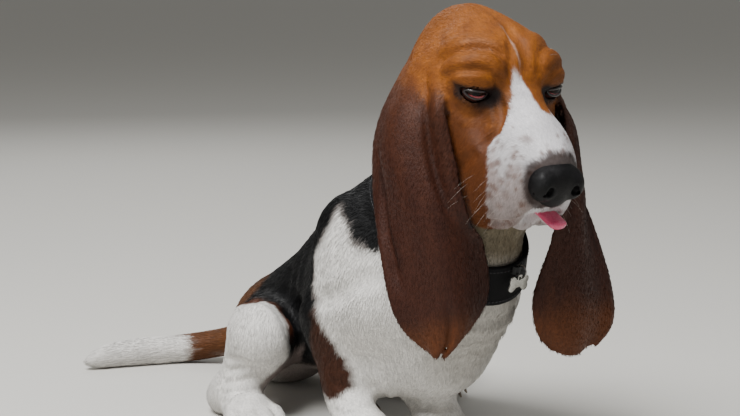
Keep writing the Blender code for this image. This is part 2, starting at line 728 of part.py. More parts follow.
def swollen(obj, off=SOCKET):
    """A copy with its skin moved outwards, to cut the socket that the object sits in."""
    mesh = bmesh.new()
    mesh.from_mesh(obj.data)
    mesh.normal_update()
    for vert, normal in [(vert, vert.normal.copy()) for vert in mesh.verts]:
        vert.co += normal * off
    return from_bmesh("cutter", mesh)


def parted(obj, names):
    """Splits an object where it was cut through; each part takes the name whose place is nearest."""
    mesh = bmesh.new()
    mesh.from_mesh(obj.data)
    bpy.data.objects.remove(obj)
    left = set(mesh.verts)
    while left:
        found, edge = set(), [left.pop()]
        while edge:
            vert = edge.pop()
            found.add(vert)
            for link in vert.link_edges:
                other = link.other_vert(vert)
                if other in left:
                    left.discard(other)
                    edge.append(other)
        middle = sum((vert.co for vert in found), Vector()) / len(found)
        name = min(names, key=lambda name: (Vector(names[name]) - middle).length)
        part = mesh.copy()
        kept = {vert.index for vert in found}
        bmesh.ops.delete(part, geom=[vert for vert in part.verts if vert.index not in kept], context="VERTS")
        from_bmesh(name, part)


def coloured(obj):
    kind = max((kind for kind in COLOURS if obj.name.startswith(kind)), key=len)
    colour, roughness, metallic = COLOURS[kind]
    material = bpy.data.materials.get(kind) or bpy.data.materials.new(kind)
    material.use_nodes = True
    shader = material.node_tree.nodes["Principled BSDF"]
    shader.inputs["Base Color"].default_value = (*colour, 1)
    shader.inputs["Roughness"].default_value = roughness
    shader.inputs["Metallic"].default_value = metallic
    obj.data.materials.clear()
    obj.data.materials.append(material)
    obj.data.shade_smooth()


def eyes():
    """Both eyeballs, poles forward."""
    for side, name in ((-1, "eye_right"), (1, "eye_left")):
        mesh = bmesh.new()
        at = Matrix.Translation(in_head(side * EYE_SPACING / 2, EYE_DEPTH, 0))
        at = at @ Matrix.Rotation(math.pi / 2, 4, "X")
        bmesh.ops.create_uvsphere(mesh, u_segments=14, v_segments=8, radius=EYE_RADIUS, matrix=at)
        yield from_bmesh(name, mesh)


def tag_and_fittings(collar):
    """The ring on the band, the tag drilled to hang from it and the sewn loop that holds it."""
    band = on_collar(collar)
    hanging = band @ Matrix.Translation((0, -TAG_RING_RADIUS - TAG_WIRE - 1.5 * GAP, 0))
    ring = from_bmesh("tag_ring", tag_ring(hanging))
    place = hanging @ Matrix.Translation((0, 0, -TAG_RING_RADIUS - TAG_BAR / 2 - 0.6 * TAG_LUG))
    tag = from_bmesh("tag", plate(bone_outline(), TAG_THICKNESS, place))
    hole = bmesh.new()
    drill = hanging @ Matrix.Translation((0, 0, -TAG_RING_RADIUS)) @ Matrix.Rotation(math.pi / 2, 4, "X")
    bmesh.ops.create_cone(
        hole,
        cap_ends=True,
        segments=16,
        radius1=TAG_HOLE,
        radius2=TAG_HOLE,
        depth=6 * TAG_THICKNESS,
        matrix=drill,
    )
    minus(tag, from_bmesh("cutter", hole))
    loop = bmesh.new()
    sewn = band @ Matrix.Translation((0, -KEEPER.y / 2, 0)) @ Matrix.Diagonal((*KEEPER, 1))
    bmesh.ops.create_cube(loop, size=1, matrix=sewn)
    keeper = from_bmesh("collar_keeper", loop)
    minus(keeper, swollen(collar))
    minus(keeper, swollen(ring))


def main():
    for obj in list(bpy.data.objects):
        bpy.data.objects.remove(obj)
    flesh = whole_body()
    body = thinned(flesh.skin("body"), TRIANGLES["body"])
    minus(body, box((-1, -1, -1), (1, 1, 0)))

    collar = from_bmesh("collar", collar_band(flesh))
    minus(body, swollen(collar))
    for side, rows in EAR_ROWS.items():
        minus(from_bmesh("ear_" + side, ear_leather(rows, flesh)), swollen(body))

    nose = thinned(nose_leather().skin("nose"), TRIANGLES["nose"])
    lower_jaw = thinned(jaw().skin("lower_jaw"), TRIANGLES["lower_jaw"])
    lick = thinned(tongue().skin("tongue"), TRIANGLES["tongue"])
    minus(lower_jaw, swollen(lick))
    minus(body, swollen(lower_jaw))
    sockets = [swollen(obj) for obj in (nose, lick, *eyes())]
    for name, points in claws():
        from_bmesh(name, claw(points))
        sockets.append(from_bmesh("cutter", claw(points, SOCKET)))
    minus(body, joined("cutter", sockets))

    minus(body, joined("cutter", [disc(*HEAD_CUT), disc(*TAIL_CUT)]))
    for centre, radii, yaw in LIMB_CUTS:
        minus(body, egg_shell(centre, radii, tilt(yaw=yaw)))
    minus(body, disc(*NECK_CUT))
    for name, (_, centre, _, _) in FEET.items():
        place, normal, radius = FOREPAW_CUT if name.startswith("fore") else HINDPAW_CUT
        minus(body, disc(Vector(centre) + place, normal, radius))
    parted(body, SECTIONS)
    tag_and_fittings(collar)

    nodes = list(bpy.context.scene.objects)
    points = np.array([vert.co for obj in nodes for vert in obj.data.vertices])
    low, high = points.min(0), points.max(0)
    for obj in nodes:
        obj.data.transform(Matrix.Translation((-(low[0] + high[0]) / 2, -(low[1] + high[1]) / 2, 0)))
        coloured(obj)


main()
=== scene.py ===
"""Life-size display model of a sitting basset hound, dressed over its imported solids.

One skin with folds and lids takes the place of the parted flesh; over it lies a short coat of
fine tufts that carries the same markings. Eyes, nose, tongue, claws, collar and tag are pieces of
their own. The hound faces -Y, so its right side is at -X.
"""

import math

import bmesh
import bpy
import numpy as np
import openvdb
from mathutils import Matrix, Vector, kdtree


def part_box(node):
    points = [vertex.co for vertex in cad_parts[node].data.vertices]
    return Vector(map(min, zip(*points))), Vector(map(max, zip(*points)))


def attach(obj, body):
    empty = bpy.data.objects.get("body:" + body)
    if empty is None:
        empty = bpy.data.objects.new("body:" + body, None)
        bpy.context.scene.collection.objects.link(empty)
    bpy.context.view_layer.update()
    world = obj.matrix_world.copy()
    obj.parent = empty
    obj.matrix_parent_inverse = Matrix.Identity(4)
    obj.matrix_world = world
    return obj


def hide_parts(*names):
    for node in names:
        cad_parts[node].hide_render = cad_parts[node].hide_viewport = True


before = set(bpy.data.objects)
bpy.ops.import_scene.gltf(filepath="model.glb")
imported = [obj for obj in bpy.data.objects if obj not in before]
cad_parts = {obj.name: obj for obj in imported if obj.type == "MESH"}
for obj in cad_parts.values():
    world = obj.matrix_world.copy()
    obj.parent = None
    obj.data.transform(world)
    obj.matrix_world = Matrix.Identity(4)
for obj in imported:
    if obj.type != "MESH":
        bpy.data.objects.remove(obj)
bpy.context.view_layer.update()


# The flesh: a hound's body is one skin over bone and muscle, loose on the brow, cheeks, throat and
# hocks. It is laid out as rounded masses that melt together in a block of space that holds the
# distance to the skin, and the skin is then drawn from it as one closed mesh.
GRAIN = 0.0015
FAR = 0.06
COAT_DEPTH = 0.0012
EYES_AT = Vector((0.0, -0.167, 0.371))
HEAD_PITCH = math.radians(23)
EYE_SPACING = 0.083
EYE_RADIUS = 0.0115
EYE_DEPTH = -0.002


class Flesh:
    """A block of space. Each point of its grid holds the distance to the skin, negative inside."""

    def __init__(self, low, high, step):
        self.low, self.step = np.array(low, np.float32), step
        self.lines = [np.arange(a, b, step, dtype=np.float32) for a, b in zip(low, high)]
        self.value = np.full([len(line) for line in self.lines], FAR, np.float32)

    def window(self, low, high):
        """The slices of the grid between two corners, and their points as three arrays."""
        cut = tuple(
            slice(*np.searchsorted(line, (a, b))) for line, a, b in zip(self.lines, low, high)
        )
        points = [
            line[c].reshape([-1 if i == axis else 1 for i in range(3)])
            for axis, (line, c) in enumerate(zip(self.lines, cut))
        ]
        return cut, points

    def melt(self, mass, soft):
        """Adds a mass, with a fillet about as wide as soft where it meets what is there."""
        distance, low, high = mass
        margin = soft + 2 * self.step
        cut, points = self.window(low - margin, high + margin)
        self.weld(cut, distance(*points), soft)

    def weld(self, cut, there, soft):
        """Adds a mass whose distances are already laid out for a part of the block."""
        here = self.value[cut]
        mix = np.clip(0.5 + 0.5 * (here - there) / soft, 0, 1)
        self.value[cut] = here + (there - here) * mix - soft * mix * (1 - mix)

    def carve(self, mass, soft):
        """Takes a mass away, with its rim rounded by about soft."""
        distance, low, high = mass
        margin = soft + 2 * self.step
        cut, points = self.window(low - margin, high + margin)
        here = self.value[cut]
        there = -distance(*points)
        mix = np.clip(0.5 - 0.5 * (here - there) / soft, 0, 1)
        self.value[cut] = here + (there - here) * mix + soft * mix * (1 - mix)

    def at(self, points):
        """The distance to the skin at each of the points."""
        place = (points - self.low) / self.step
        whole = np.clip(np.floor(place).astype(int), 0, np.array(self.value.shape) - 2)
        part = np.clip(place - whole, 0, 1)
        total = 0
        for corner in np.ndindex(2, 2, 2):
            share = np.prod(np.where(corner, part, 1 - part), axis=-1)
            total = total + share * self.value[tuple(np.moveaxis(whole + corner, -1, 0))]
        return total

    def outward(self, points):
        """The direction straight out of the skin at each of the points."""
        ways = np.eye(3) * self.step
        slope = np.stack([self.at(points + way) - self.at(points - way) for way in ways], axis=-1)
        return slope / (np.linalg.norm(slope, axis=-1, keepdims=True) + 1e-9)

    def skin(self, off=0.0):
        """The points and four-sided faces of a surface a little off the skin."""
        grid = openvdb.FloatGrid(FAR)
        grid.copyFromArray(self.value)
        points, quads = grid.convertToQuads(isovalue=off)
        return points * self.step + self.low, quads


def ball(centre, radii, turn=None):
    """An egg with its half lengths along three axes; turn is the matrix that tilts those axes."""
    centre, radii = np.array(centre, float), np.array(radii, float)
    turn = np.array(turn or Matrix.Identity(3), float)
    reach = np.sqrt(((turn * radii) ** 2).sum(1))

    def distance(x, y, z):
        x, y, z = x - centre[0], y - centre[1], z - centre[2]
        near = far = 0
        for axis, radius in zip(turn.T, radii):
            along = (x * axis[0] + y * axis[1] + z * axis[2]) / radius
            near = near + along**2
            far = far + (along / radius) ** 2
        near = np.sqrt(near) + 1e-6
        return near * (near - 1) / (np.sqrt(far) + 1e-6)

    return distance, centre - reach, centre + reach


def smooth_line(stations, count):
    """Points on a smooth curve through the stations, which hold a place and the sizes there."""
    stations = np.array(stations, float)
    ends = np.vstack([2 * stations[0] - stations[1], stations, 2 * stations[-1] - stations[-2]])
    made = []
    for a, b, c, d in zip(ends, ends[1:], ends[2:], ends[3:]):
        for t in np.arange(count) / count:
            made.append(
                b
                + 0.5 * t * (c - a)
                + t**2 * (a - 2.5 * b + 2 * c - 0.5 * d)
                + t**3 * (1.5 * (b - c) + 0.5 * (d - a))
            )
    return np.array([*made, stations[-1]])


def limb(*stations, count=5):
    """A rounded rod through stations of (x, y, z, radius), or (x, y, z, radius, width), where width
    is how many times wider than deep it is across X."""
    line = [(*station, 1.0)[:5] for station in stations]
    line = smooth_line(line, count)
    reach = (line[:, 3] * np.maximum(line[:, 4], 1))[:, None]
    low, high = (line[:, :3] - reach).min(0), (line[:, :3] + reach).max(0)

    def distance(x, y, z):
        nearest = None
        for a, b in zip(line, line[1:]):
            step = b[:3] - a[:3]
            long = (step**2).sum() + 1e-12
            t = ((x - a[0]) * step[0] + (y - a[1]) * step[1] + (z - a[2]) * step[2]) / long
            t = np.clip(t, 0, 1)
            width = a[4] + t * (b[4] - a[4])
            off = ((x - a[0] - t * step[0]) / width) ** 2
            off = off + (y - a[1] - t * step[1]) ** 2 + (z - a[2] - t * step[2]) ** 2
            here = np.sqrt(off) - (a[3] + t * (b[3] - a[3]))
            nearest = here if nearest is None else np.minimum(nearest, here)
        return nearest

    return distance, low, high


def tilt(pitch=0.0, yaw=0.0, roll=0.0):
    """A turn in degrees: pitch lifts +Y, yaw turns about the vertical, roll leans about Y."""
    return (
        Matrix.Rotation(math.radians(yaw), 3, "Z")
        @ Matrix.Rotation(math.radians(pitch), 3, "X")
        @ Matrix.Rotation(math.radians(roll), 3, "Y")
    )


def in_head(side, forward, up):
    """A place in the head: out to the left, forward along the muzzle and up, from between the eyes."""
    ahead = Vector((0, -math.cos(HEAD_PITCH), -math.sin(HEAD_PITCH)))
    above = Vector((0, -math.sin(HEAD_PITCH), math.cos(HEAD_PITCH)))
    return EYES_AT + Vector((side, 0, 0)) + float(forward) * ahead + float(up) * above


HEAD_TURN = tilt(pitch=math.degrees(HEAD_PITCH))


def head_ball(side, forward, up, radii, pitch=0.0, yaw=0.0, roll=0.0):
    """A mass of the head: radii are its half width, half length and half height."""
    return ball(in_head(side, forward, up), radii, HEAD_TURN @ tilt(pitch, yaw, roll))


def head_limb(*stations):
    """A rod in the head, through stations of (side, forward, up, radius) and perhaps a width."""
    return limb(*[(*in_head(*station[:3]), *station[3:]) for station in stations])


# Each foot: the side it is on, the middle of its sole, how far it turns out in degrees, its size.
FEET = {
    "fore_right": (-1, (-0.073, -0.022, 0), 12, 1.08),
    "fore_left": (1, (0.010, -0.030, 0), 6, 1.08),
    "hind_right": (-1, (-0.131, 0.120, 0), 10, 1.0),
    "hind_left": (1, (0.110, 0.158, 0), 4, 1.0),
}
WRISTS = {"fore_right": (-0.073, 0.008, 0.050), "fore_left": (0.018, -0.002, 0.052)}
LEFT_HIND_BACK = 0.036


def torso(flesh):
    flesh.melt(ball((0, 0.045, 0.150), (0.086, 0.120, 0.088), tilt(pitch=-28)), 0.03)
    flesh.melt(ball((0, -0.050, 0.158), (0.066, 0.070, 0.080)), 0.05)
    flesh.melt(ball((0, -0.012, 0.098), (0.046, 0.075, 0.050)), 0.04)
    flesh.melt(
        limb(
            (0, 0.12, 0.112, 0.062, 1.1),
            (0, 0.20, 0.086, 0.054, 1.05),
            (0, 0.28, 0.064, 0.046, 1.05),
        ),
        0.04,
    )
    flesh.melt(
        limb(
            (0, 0.02, 0.224, 0.045),
            (0, 0.10, 0.190, 0.043),
            (0, 0.20, 0.131, 0.041),
            (0, 0.30, 0.082, 0.034),
            (0, 0.325, 0.066, 0.030),
        ),
        0.05,
    )
    flesh.melt(ball((0, 0.295, 0.052), (0.054, 0.074, 0.056), tilt(pitch=-12)), 0.03)


def neck(flesh):
    flesh.melt(
        limb(
            (0, -0.010, 0.195, 0.078),
            (0, -0.052, 0.250, 0.064),
            (0, -0.075, 0.310, 0.060),
            (0, -0.082, 0.350, 0.058),
        ),
        0.05,
    )
    flesh.melt(
        limb(
            (0, -0.142, 0.262, 0.022, 1.55),
            (0, -0.122, 0.215, 0.026, 1.45),
            (0, -0.100, 0.160, 0.030, 1.2),
        ),
        0.04,
    )


def skull(flesh):
    flesh.melt(head_ball(0, -0.060, -0.014, (0.056, 0.070, 0.044)), 0.03)
    crest = head_limb((0, -0.100, 0.010, 0.024), (0, -0.062, 0.018, 0.022), (0, -0.022, 0.010, 0.022))
    flesh.melt(crest, 0.03)
    flesh.melt(head_limb((0, -0.02, -0.012, 0.030), (0, 0.04, -0.022, 0.024), (0, 0.076, -0.036, 0.022)), 0.03)
    flesh.melt(head_limb((0, -0.080, 0.026, 0.013), (0, -0.050, 0.028, 0.014), (0, -0.020, 0.018, 0.014)), 0.03)
    for side in (-1, 1):
        flesh.melt(head_ball(side * 0.024, -0.034, 0.020, (0.026, 0.032, 0.018)), 0.025)
        flesh.melt(head_ball(side * 0.036, -0.012, 0.014, (0.025, 0.021, 0.014), roll=side * 12), 0.02)
        flesh.melt(head_ball(side * 0.042, -0.040, -0.045, (0.028, 0.050, 0.044)), 0.03)
        flesh.melt(head_ball(side * 0.022, 0.042, -0.066, (0.020, 0.050, 0.050), pitch=4), 0.02)
        flesh.melt(head_ball(side * 0.035, 0.014, -0.084, (0.016, 0.042, 0.043), roll=side * 8), 0.022)
    flesh.melt(head_ball(0, 0.070, -0.052, (0.025, 0.022, 0.025)), 0.010)
    flesh.melt(head_ball(0, 0.067, -0.072, (0.024, 0.027, 0.013)), 0.012)
    flesh.melt(head_limb((0, -0.03, -0.088, 0.020), (0, 0.02, -0.096, 0.017), (0, 0.062, -0.101, 0.012)), 0.012)


def foreleg(flesh, side, wrist, foot):
    flesh.melt(ball((side * 0.070, 0.010, 0.185), (0.030, 0.050, 0.068), tilt(pitch=-15)), 0.03)
    flesh.melt(limb((side * 0.060, -0.034, 0.155, 0.034), (side * 0.074, 0.030, 0.130, 0.030)), 0.03)
    wide = Vector((side * 0.077, 0.032, 0.128))
    low = wide.lerp(Vector(wrist), 0.55)
    flesh.melt(limb((*wide, 0.031), (*low, 0.0275), (*wrist, 0.0255), (*foot[:2], 0.026, 0.025)), 0.025)


def toes(side, centre, heading, size):
    """The root, knuckle and tip of each toe of a foot; heading turns the foot outwards, in degrees."""
    turn = tilt(yaw=side * heading)
    for across, ahead in ((-0.0215, 0.018), (-0.0075, 0.030), (0.0075, 0.030), (0.0215, 0.018)):
        yield [
            Vector(centre) + turn @ Vector(place)
            for place in (
                (across * 0.7 * size, 0, 0.019),
                (across * size, -ahead * size, 0.0175),
                (across * 1.1 * size, -(ahead + 0.013) * size, 0.009),
            )
        ]


def paw(flesh, side, centre, heading, size):
    middle = Vector(centre) + Vector((0, 0, 0.015))
    flesh.melt(ball(middle, (0.027 * size, 0.030 * size, 0.018), tilt(yaw=side * heading)), 0.012)
    for root, knuckle, tip in toes(side, centre, heading, size):
        flesh.melt(limb((*root, 0.0100), (*knuckle, 0.0110), (*tip, 0.0095), count=3), 0.004)


def hindleg(flesh, side, back, foot):
    flesh.melt(
        limb(
            (side * 0.036, 0.268 + back, 0.068, 0.041),
            (side * 0.073, 0.195 + back, 0.080, 0.044),
            (side * 0.106, 0.134 + back, 0.094, 0.033),
        ),
        0.014,
    )
    flesh.melt(
        limb(
            (side * 0.106, 0.138 + back, 0.092, 0.033),
            (side * 0.114, 0.158 + back, 0.055, 0.028),
            (side * 0.122, 0.186 + back, 0.024, 0.020),
        ),
        0.02,
    )
    flesh.melt(
        limb(
            (side * 0.125, 0.194 + back, 0.016, 0.018),
            (side * 0.128, 0.165 + back, 0.024, 0.021),
            (*foot[:2], 0.020, 0.022),
        ),
        0.02,
    )


def tail(flesh):
    flesh.melt(
        limb(
            (0, 0.335, 0.050, 0.026),
            (-0.015, 0.385, 0.032, 0.0185),
            (-0.065, 0.430, 0.018, 0.0175),
            (-0.130, 0.448, 0.016, 0.0170),
            (-0.166, 0.451, 0.014, 0.0135),
            (-0.182, 0.451, 0.011, 0.0080),
        ),
        0.02,
    )


# The ears are two thin leathers, rooted low at the back of the cheeks and hanging in soft folds. Each
# is drawn as a closed sheet through rows that cross it, and is welded to the head at its root only.
# Each row crosses the ear from its rear edge over the middle to its front edge, from root to tip.
EAR_ROWS = {
    "right": (
        ((-0.048, -0.055, 0.380), (-0.054, -0.095, 0.388), (-0.050, -0.132, 0.381)),
        ((-0.070, -0.055, 0.350), (-0.084, -0.105, 0.354), (-0.058, -0.150, 0.352)),
        ((-0.086, -0.062, 0.315), (-0.096, -0.115, 0.312), (-0.055, -0.160, 0.314)),
        ((-0.096, -0.080, 0.270), (-0.092, -0.133, 0.265), (-0.046, -0.168, 0.272)),
        ((-0.101, -0.100, 0.222), (-0.080, -0.150, 0.222), (-0.025, -0.162, 0.230)),
        ((-0.101, -0.115, 0.175), (-0.065, -0.160, 0.175), (-0.010, -0.152, 0.180)),
        ((-0.093, -0.124, 0.148), (-0.060, -0.156, 0.144), (-0.027, -0.150, 0.147)),
        ((-0.075, -0.136, 0.126), (-0.065, -0.147, 0.121), (-0.053, -0.148, 0.125)),
    ),
    "left": (
        ((0.048, -0.055, 0.380), (0.054, -0.095, 0.388), (0.050, -0.132, 0.381)),
        ((0.073, -0.058, 0.352), (0.088, -0.110, 0.354), (0.058, -0.150, 0.352)),
        ((0.094, -0.078, 0.315), (0.101, -0.125, 0.312), (0.058, -0.160, 0.314)),
        ((0.112, -0.105, 0.270), (0.100, -0.148, 0.265), (0.052, -0.166, 0.268)),
        ((0.126, -0.125, 0.222), (0.092, -0.160, 0.222), (0.050, -0.160, 0.225)),
        ((0.142, -0.135, 0.170), (0.092, -0.163, 0.170), (0.038, -0.150, 0.172)),
        ((0.143, -0.140, 0.134), (0.090, -0.160, 0.128), (0.044, -0.148, 0.134)),
        ((0.122, -0.142, 0.113), (0.091, -0.152, 0.107), (0.062, -0.147, 0.113)),
    ),
}
EAR_THICKNESS = 0.0060
EAR_STEPS_DOWN = 8
EAR_STEPS_ACROSS = 24


def hump(x, middle, width):
    """1 at the middle, fading to nothing on both sides."""
    return np.exp(-(((x - middle) / width) ** 2))


def rise(x, start, end):
    """Goes smoothly from 0 at start to 1 at end."""
    t = np.clip((x - start) / (end - start), 0, 1)
    return t * t * (3 - 2 * t)


def right_folds(down, across):
    """How far the right ear stands out of its plain sheet, in metres."""
    roll = 0.0045 * hump(across, 0.93, 0.06) * (1 - rise(down, 0.40, 0.60))
    crease = -0.0052 * hump(across, 0.81, 0.036) * (1 - rise(down, 0.36, 0.52))
    groove = 0.21 - 0.09 * rise(down, 0.34, 0.56)
    back = -0.0045 * hump(across, groove, 0.038) * rise(down, 0.26, 0.38) * (1 - rise(down, 0.62, 0.70))
    flap = 0.0055 * hump(across, 0.30, 0.14) * rise(down, 0.66, 0.84) - 0.0045 * hump(across, 0.50, 0.035) * rise(down, 0.66, 0.80)
    sway = 0.0035 * np.sin(across * 9 + down * 3) * rise(down, 0.25, 0.6)
    return roll + crease + back + flap + sway


def left_folds(down, across):
    """The same for the left ear, which hangs flatter."""
    roll = 0.0040 * hump(across, 0.93, 0.07) * (1 - rise(down, 0.40, 0.60))
    crease = -0.0050 * hump(across, 0.82, 0.035) * (1 - rise(down, 0.36, 0.52))
    edge = 0.0040 * hump(across, 0.10, 0.08) * rise(down, 0.3, 0.6) + 0.006 * hump(down, 0.24, 0.10)
    sway = 0.0030 * np.sin(across * 7 + 1.0 + down * 2) * rise(down, 0.25, 0.6)
    return roll + crease + edge + sway


# Places along the grooves and ear creases, each with its reach, where the hair is darkened as painted shade.
painted_crease_spots = []


def evened(push, times=3):
    """Spreads a push over its neighbours in a sheet, so that the sheet stays smooth."""
    for _ in range(times):
        for axis in (0, 1):
            ends = [(1, 1) if i == axis else (0, 0) for i in range(3)]
            padded = np.moveaxis(np.pad(push, ends, mode="edge"), axis, 0)
            push = np.moveaxis(0.25 * padded[:-2] + 0.5 * padded[1:-1] + 0.25 * padded[2:], 0, axis)
    return push


def hang_ear(flesh, rows, folds, out):
    """Draws an ear's leather clear of the head and neck and welds it on at its root."""
    across = [smooth_line(row, EAR_STEPS_ACROSS) for row in rows]
    columns = [smooth_line(column, EAR_STEPS_DOWN) for column in np.swapaxes(across, 0, 1)]
    sheet = np.swapaxes(columns, 0, 1)
    down = np.linspace(0, 1, sheet.shape[0])[:, None]
    side = np.linspace(0, 1, sheet.shape[1])[None, :]
    lying = 1 - 0.6 * rise(side, 0.86, 0.97) * (1 - rise(down, 0.42, 0.58))
    wanted = np.clip(-0.02 + 0.16 * down, -0.02, 0.7 * EAR_THICKNESS) * lying
    for _ in range(10):
        short = np.clip(wanted - flesh.at(sheet), 0, 0.01)
        sheet = sheet + evened(flesh.outward(sheet) * short[..., None])
    facing = np.cross(np.gradient(sheet, axis=0), np.gradient(sheet, axis=1)) * -out
    facing /= np.linalg.norm(facing, axis=2, keepdims=True)
    sheet = sheet + facing * folds(down, side)[..., None]
    for _ in range(3):
        short = np.clip(0.6 * EAR_THICKNESS * lying - flesh.at(sheet), 0, 0.01) * rise(down, 0.16, 0.24)
        sheet = sheet + evened(flesh.outward(sheet) * short[..., None])
    # The lines of the ear's creases are kept, so that the hair along them can be darkened as painted shade.
    for share, first, last in ((0.81, 0.02, 0.46), (1.0, 0.0, 0.44), (0.17, 0.34, 0.62)):
        line = sheet[int(first * len(down)):int(last * len(down)), round(share * (side.shape[1] - 1))]
        painted_crease_spots.extend((tuple(place), 0.0065) for place in smooth_line(line, 2))
    rim = np.minimum(side, 1 - side) * 14
    tip = (1 - down) * 30
    depth = EAR_THICKNESS / 2 * np.sqrt(np.clip(np.minimum(rim, tip), 0.7, 1))
    faces = []
    high, wide = sheet.shape[:2]
    index = np.arange(2 * high * wide).reshape(2, high, wide)
    for k, turn in ((0, 1), (1, -1)):
        quad = index[k]
        faces.append(np.stack([quad[:-1, :-1], quad[1:, :-1], quad[1:, 1:], quad[:-1, 1:]], -1)[..., ::turn])
    for near, far in ((index[:, :, 0], 1), (index[:, :, -1], -1), (index[:, 0, :], -1), (index[:, -1, :], 1)):
        faces.append(np.stack([near[0, :-1], near[1, :-1], near[1, 1:], near[0, 1:]], -1)[..., ::far])
    faces = np.concatenate([face.reshape(-1, 4) for face in faces])
    points = np.concatenate([sheet + facing * depth[..., None], sheet - facing * depth[..., None]])
    points = (points.reshape(-1, 3) - flesh.low) / flesh.step
    leather = openvdb.FloatGrid.createLevelSetFromPolygons(
        points.astype(np.float32), quads=faces.astype(np.uint32), exBandWidth=9.0, inBandWidth=9.0
    )
    low = np.floor(points.min(0)).astype(int) - 8
    high = np.ceil(points.max(0)).astype(int) + 9
    block = np.empty(high - low, np.float32)
    leather.copyToArray(block, ijk=tuple(int(i) for i in low))
    cut = tuple(slice(a, b) for a, b in zip(low, high))
    height = flesh.lines[2][cut[2]]
    block *= flesh.step
    flesh.weld(cut, block, 0.0015 + 0.010 * rise(height, 0.335, 0.365))
    return low * flesh.step + flesh.low, block


# The face: loose skin on a heavy skull. The brow lies in arcs over each eye, a furrow runs down the
# forehead, the lower lids sag, and the flews hang past the mouth. Each fold is a groove or a ridge laid
# along a line of places that is first drawn onto the skin.
GAZE_OUT = math.radians(20)
GAZE_UP = math.radians(4)
LID_RADIUS = 0.0140
OPENING = (0.0106, 0.0026, 0.0050)
MOUTH = ((-0.044, 0.050, -0.112), (-0.036, 0.076, -0.103), (-0.018, 0.096, -0.092), (0, 0.102, -0.088))
MOUTH += tuple((-out, ahead, up) for out, ahead, up in MOUTH[-2::-1])


def fold(flesh, places, width, deep, count=6):
    """Presses a groove of a rod's width into the skin along the places, or raises a ridge where deep is
    below nothing. It runs out at both ends."""
    line = smooth_line(places, count)
    for _ in range(4):
        line = line - flesh.outward(line) * flesh.at(line)[:, None]
    out = flesh.outward(line)
    fade = np.sin(np.linspace(0.12, math.pi - 0.12, len(line)))[:, None] ** 0.6
    if deep > 0:
        # The groove's places are kept, so that the hair in it can be darkened as painted shade.
        painted_crease_spots.extend((tuple(place), width * share) for place, share in zip(line, fade[:, 0] * min(1, deep / 0.004)))
        flesh.carve(limb(*np.hstack([line + out * (width - deep * fade), width + 0 * fade]), count=1), width)
    else:
        flesh.melt(limb(*np.hstack([line - out * (width + deep * fade), width + 0 * fade]), count=1), width)


def eye_turn(side):
    """The eye's own axes as columns: outwards to its side, up, and along its gaze."""
    turn = HEAD_TURN @ tilt(yaw=side * math.degrees(GAZE_OUT), pitch=-math.degrees(GAZE_UP))
    return Matrix((turn @ Vector((side, 0, 0)), turn @ Vector((0, 0, 1)), turn @ Vector((0, -1, 0)))).transposed()


def eye_centre(side):
    return in_head(side * EYE_SPACING / 2, EYE_DEPTH, 0)


def almond(side, grow=0.0):
    """The opening between the lids: a slot along the gaze, its lower half the deeper one."""
    wide, above, below = np.array(OPENING) + grow
    centre, axes = np.array(eye_centre(side)), np.array(eye_turn(side))
    reach = 0.026

    def distance(x, y, z):
        offset = [x - centre[0], y - centre[1], z - centre[2]]
        across, up, ahead = (sum(o * a for o, a in zip(offset, axis)) for axis in axes.T)
        tall = np.where(up > 0, above, below * (1 - 0.18 * across / wide))
        flat = (np.sqrt((across / wide) ** 2 + (up / tall) ** 2 + 1e-9) - 1) * above
        return np.maximum(flat, 0.004 - ahead)

    return distance, centre - reach, centre + reach


def face(flesh):
    for side in (-1, 1):
        centre = eye_centre(side)
        flesh.melt(ball(centre, [LID_RADIUS] * 3), 0.006)
        flesh.carve(almond(side), 0.0022)
        flesh.carve(ball(centre, [EYE_RADIUS + 0.0002] * 3), 0.0005)
        for width, deep, places in (
            (0.0036, 0.0042, ((0.063, -0.020, 0.006), (0.056, -0.008, 0.016), (0.043, 0.002, 0.021), (0.030, 0.008, 0.018), (0.022, 0.012, 0.006))),
            (0.0044, 0.0044, ((0.066, -0.040, 0.016), (0.056, -0.026, 0.030), (0.040, -0.014, 0.036), (0.024, -0.004, 0.032), (0.016, 0.004, 0.018))),
            (0.0070, -0.0010, ((0.062, -0.028, 0.012), (0.050, -0.012, 0.025), (0.036, -0.004, 0.028), (0.024, 0.002, 0.022))),
            (0.0070, -0.0009, ((0.062, -0.052, 0.024), (0.048, -0.036, 0.038), (0.030, -0.024, 0.043), (0.018, -0.014, 0.036))),
            (0.0038, 0.0042, ((0.024, 0.010, 0.010), (0.027, 0.018, 0.000), (0.031, 0.032, -0.012), (0.036, 0.037, -0.026), (0.041, 0.034, -0.038))),
            (0.0040, 0.0012, ((0.030, 0.010, -0.014), (0.042, 0.006, -0.021), (0.054, -0.004, -0.019), (0.061, -0.016, -0.010))),
            (0.0050, 0.0025, ((0.046, 0.030, -0.050), (0.048, 0.020, -0.075), (0.044, 0.014, -0.100), (0.036, 0.012, -0.122))),
            (0.0060, 0.0025, ((0.058, -0.010, -0.050), (0.060, -0.020, -0.080), (0.052, -0.026, -0.108))),
        ):
            calm = 0.2 if side > 0 else 1.0
            fold(flesh, [in_head(side * out, ahead, up) for out, ahead, up in places], width, deep * calm)
    fold(flesh, [in_head(0.003, f, u) for f, u in ((-0.085, 0.042), (-0.050, 0.042), (-0.015, 0.036), (0.006, 0.024))], 0.005, 0.0034)
    fold(flesh, [in_head(s, f, u) for s, f, u in ((0.000, -0.030, 0.042), (-0.008, -0.012, 0.034), (-0.012, 0.002, 0.024), (-0.014, 0.012, 0.012))], 0.0035, 0.0018)
    fold(flesh, [in_head(*place) for place in MOUTH], 0.0032, 0.0045)
    fold(flesh, [in_head(0, f, u) for f, u in ((0.106, -0.070), (0.103, -0.078), (0.101, -0.086))], 0.0022, 0.0022)


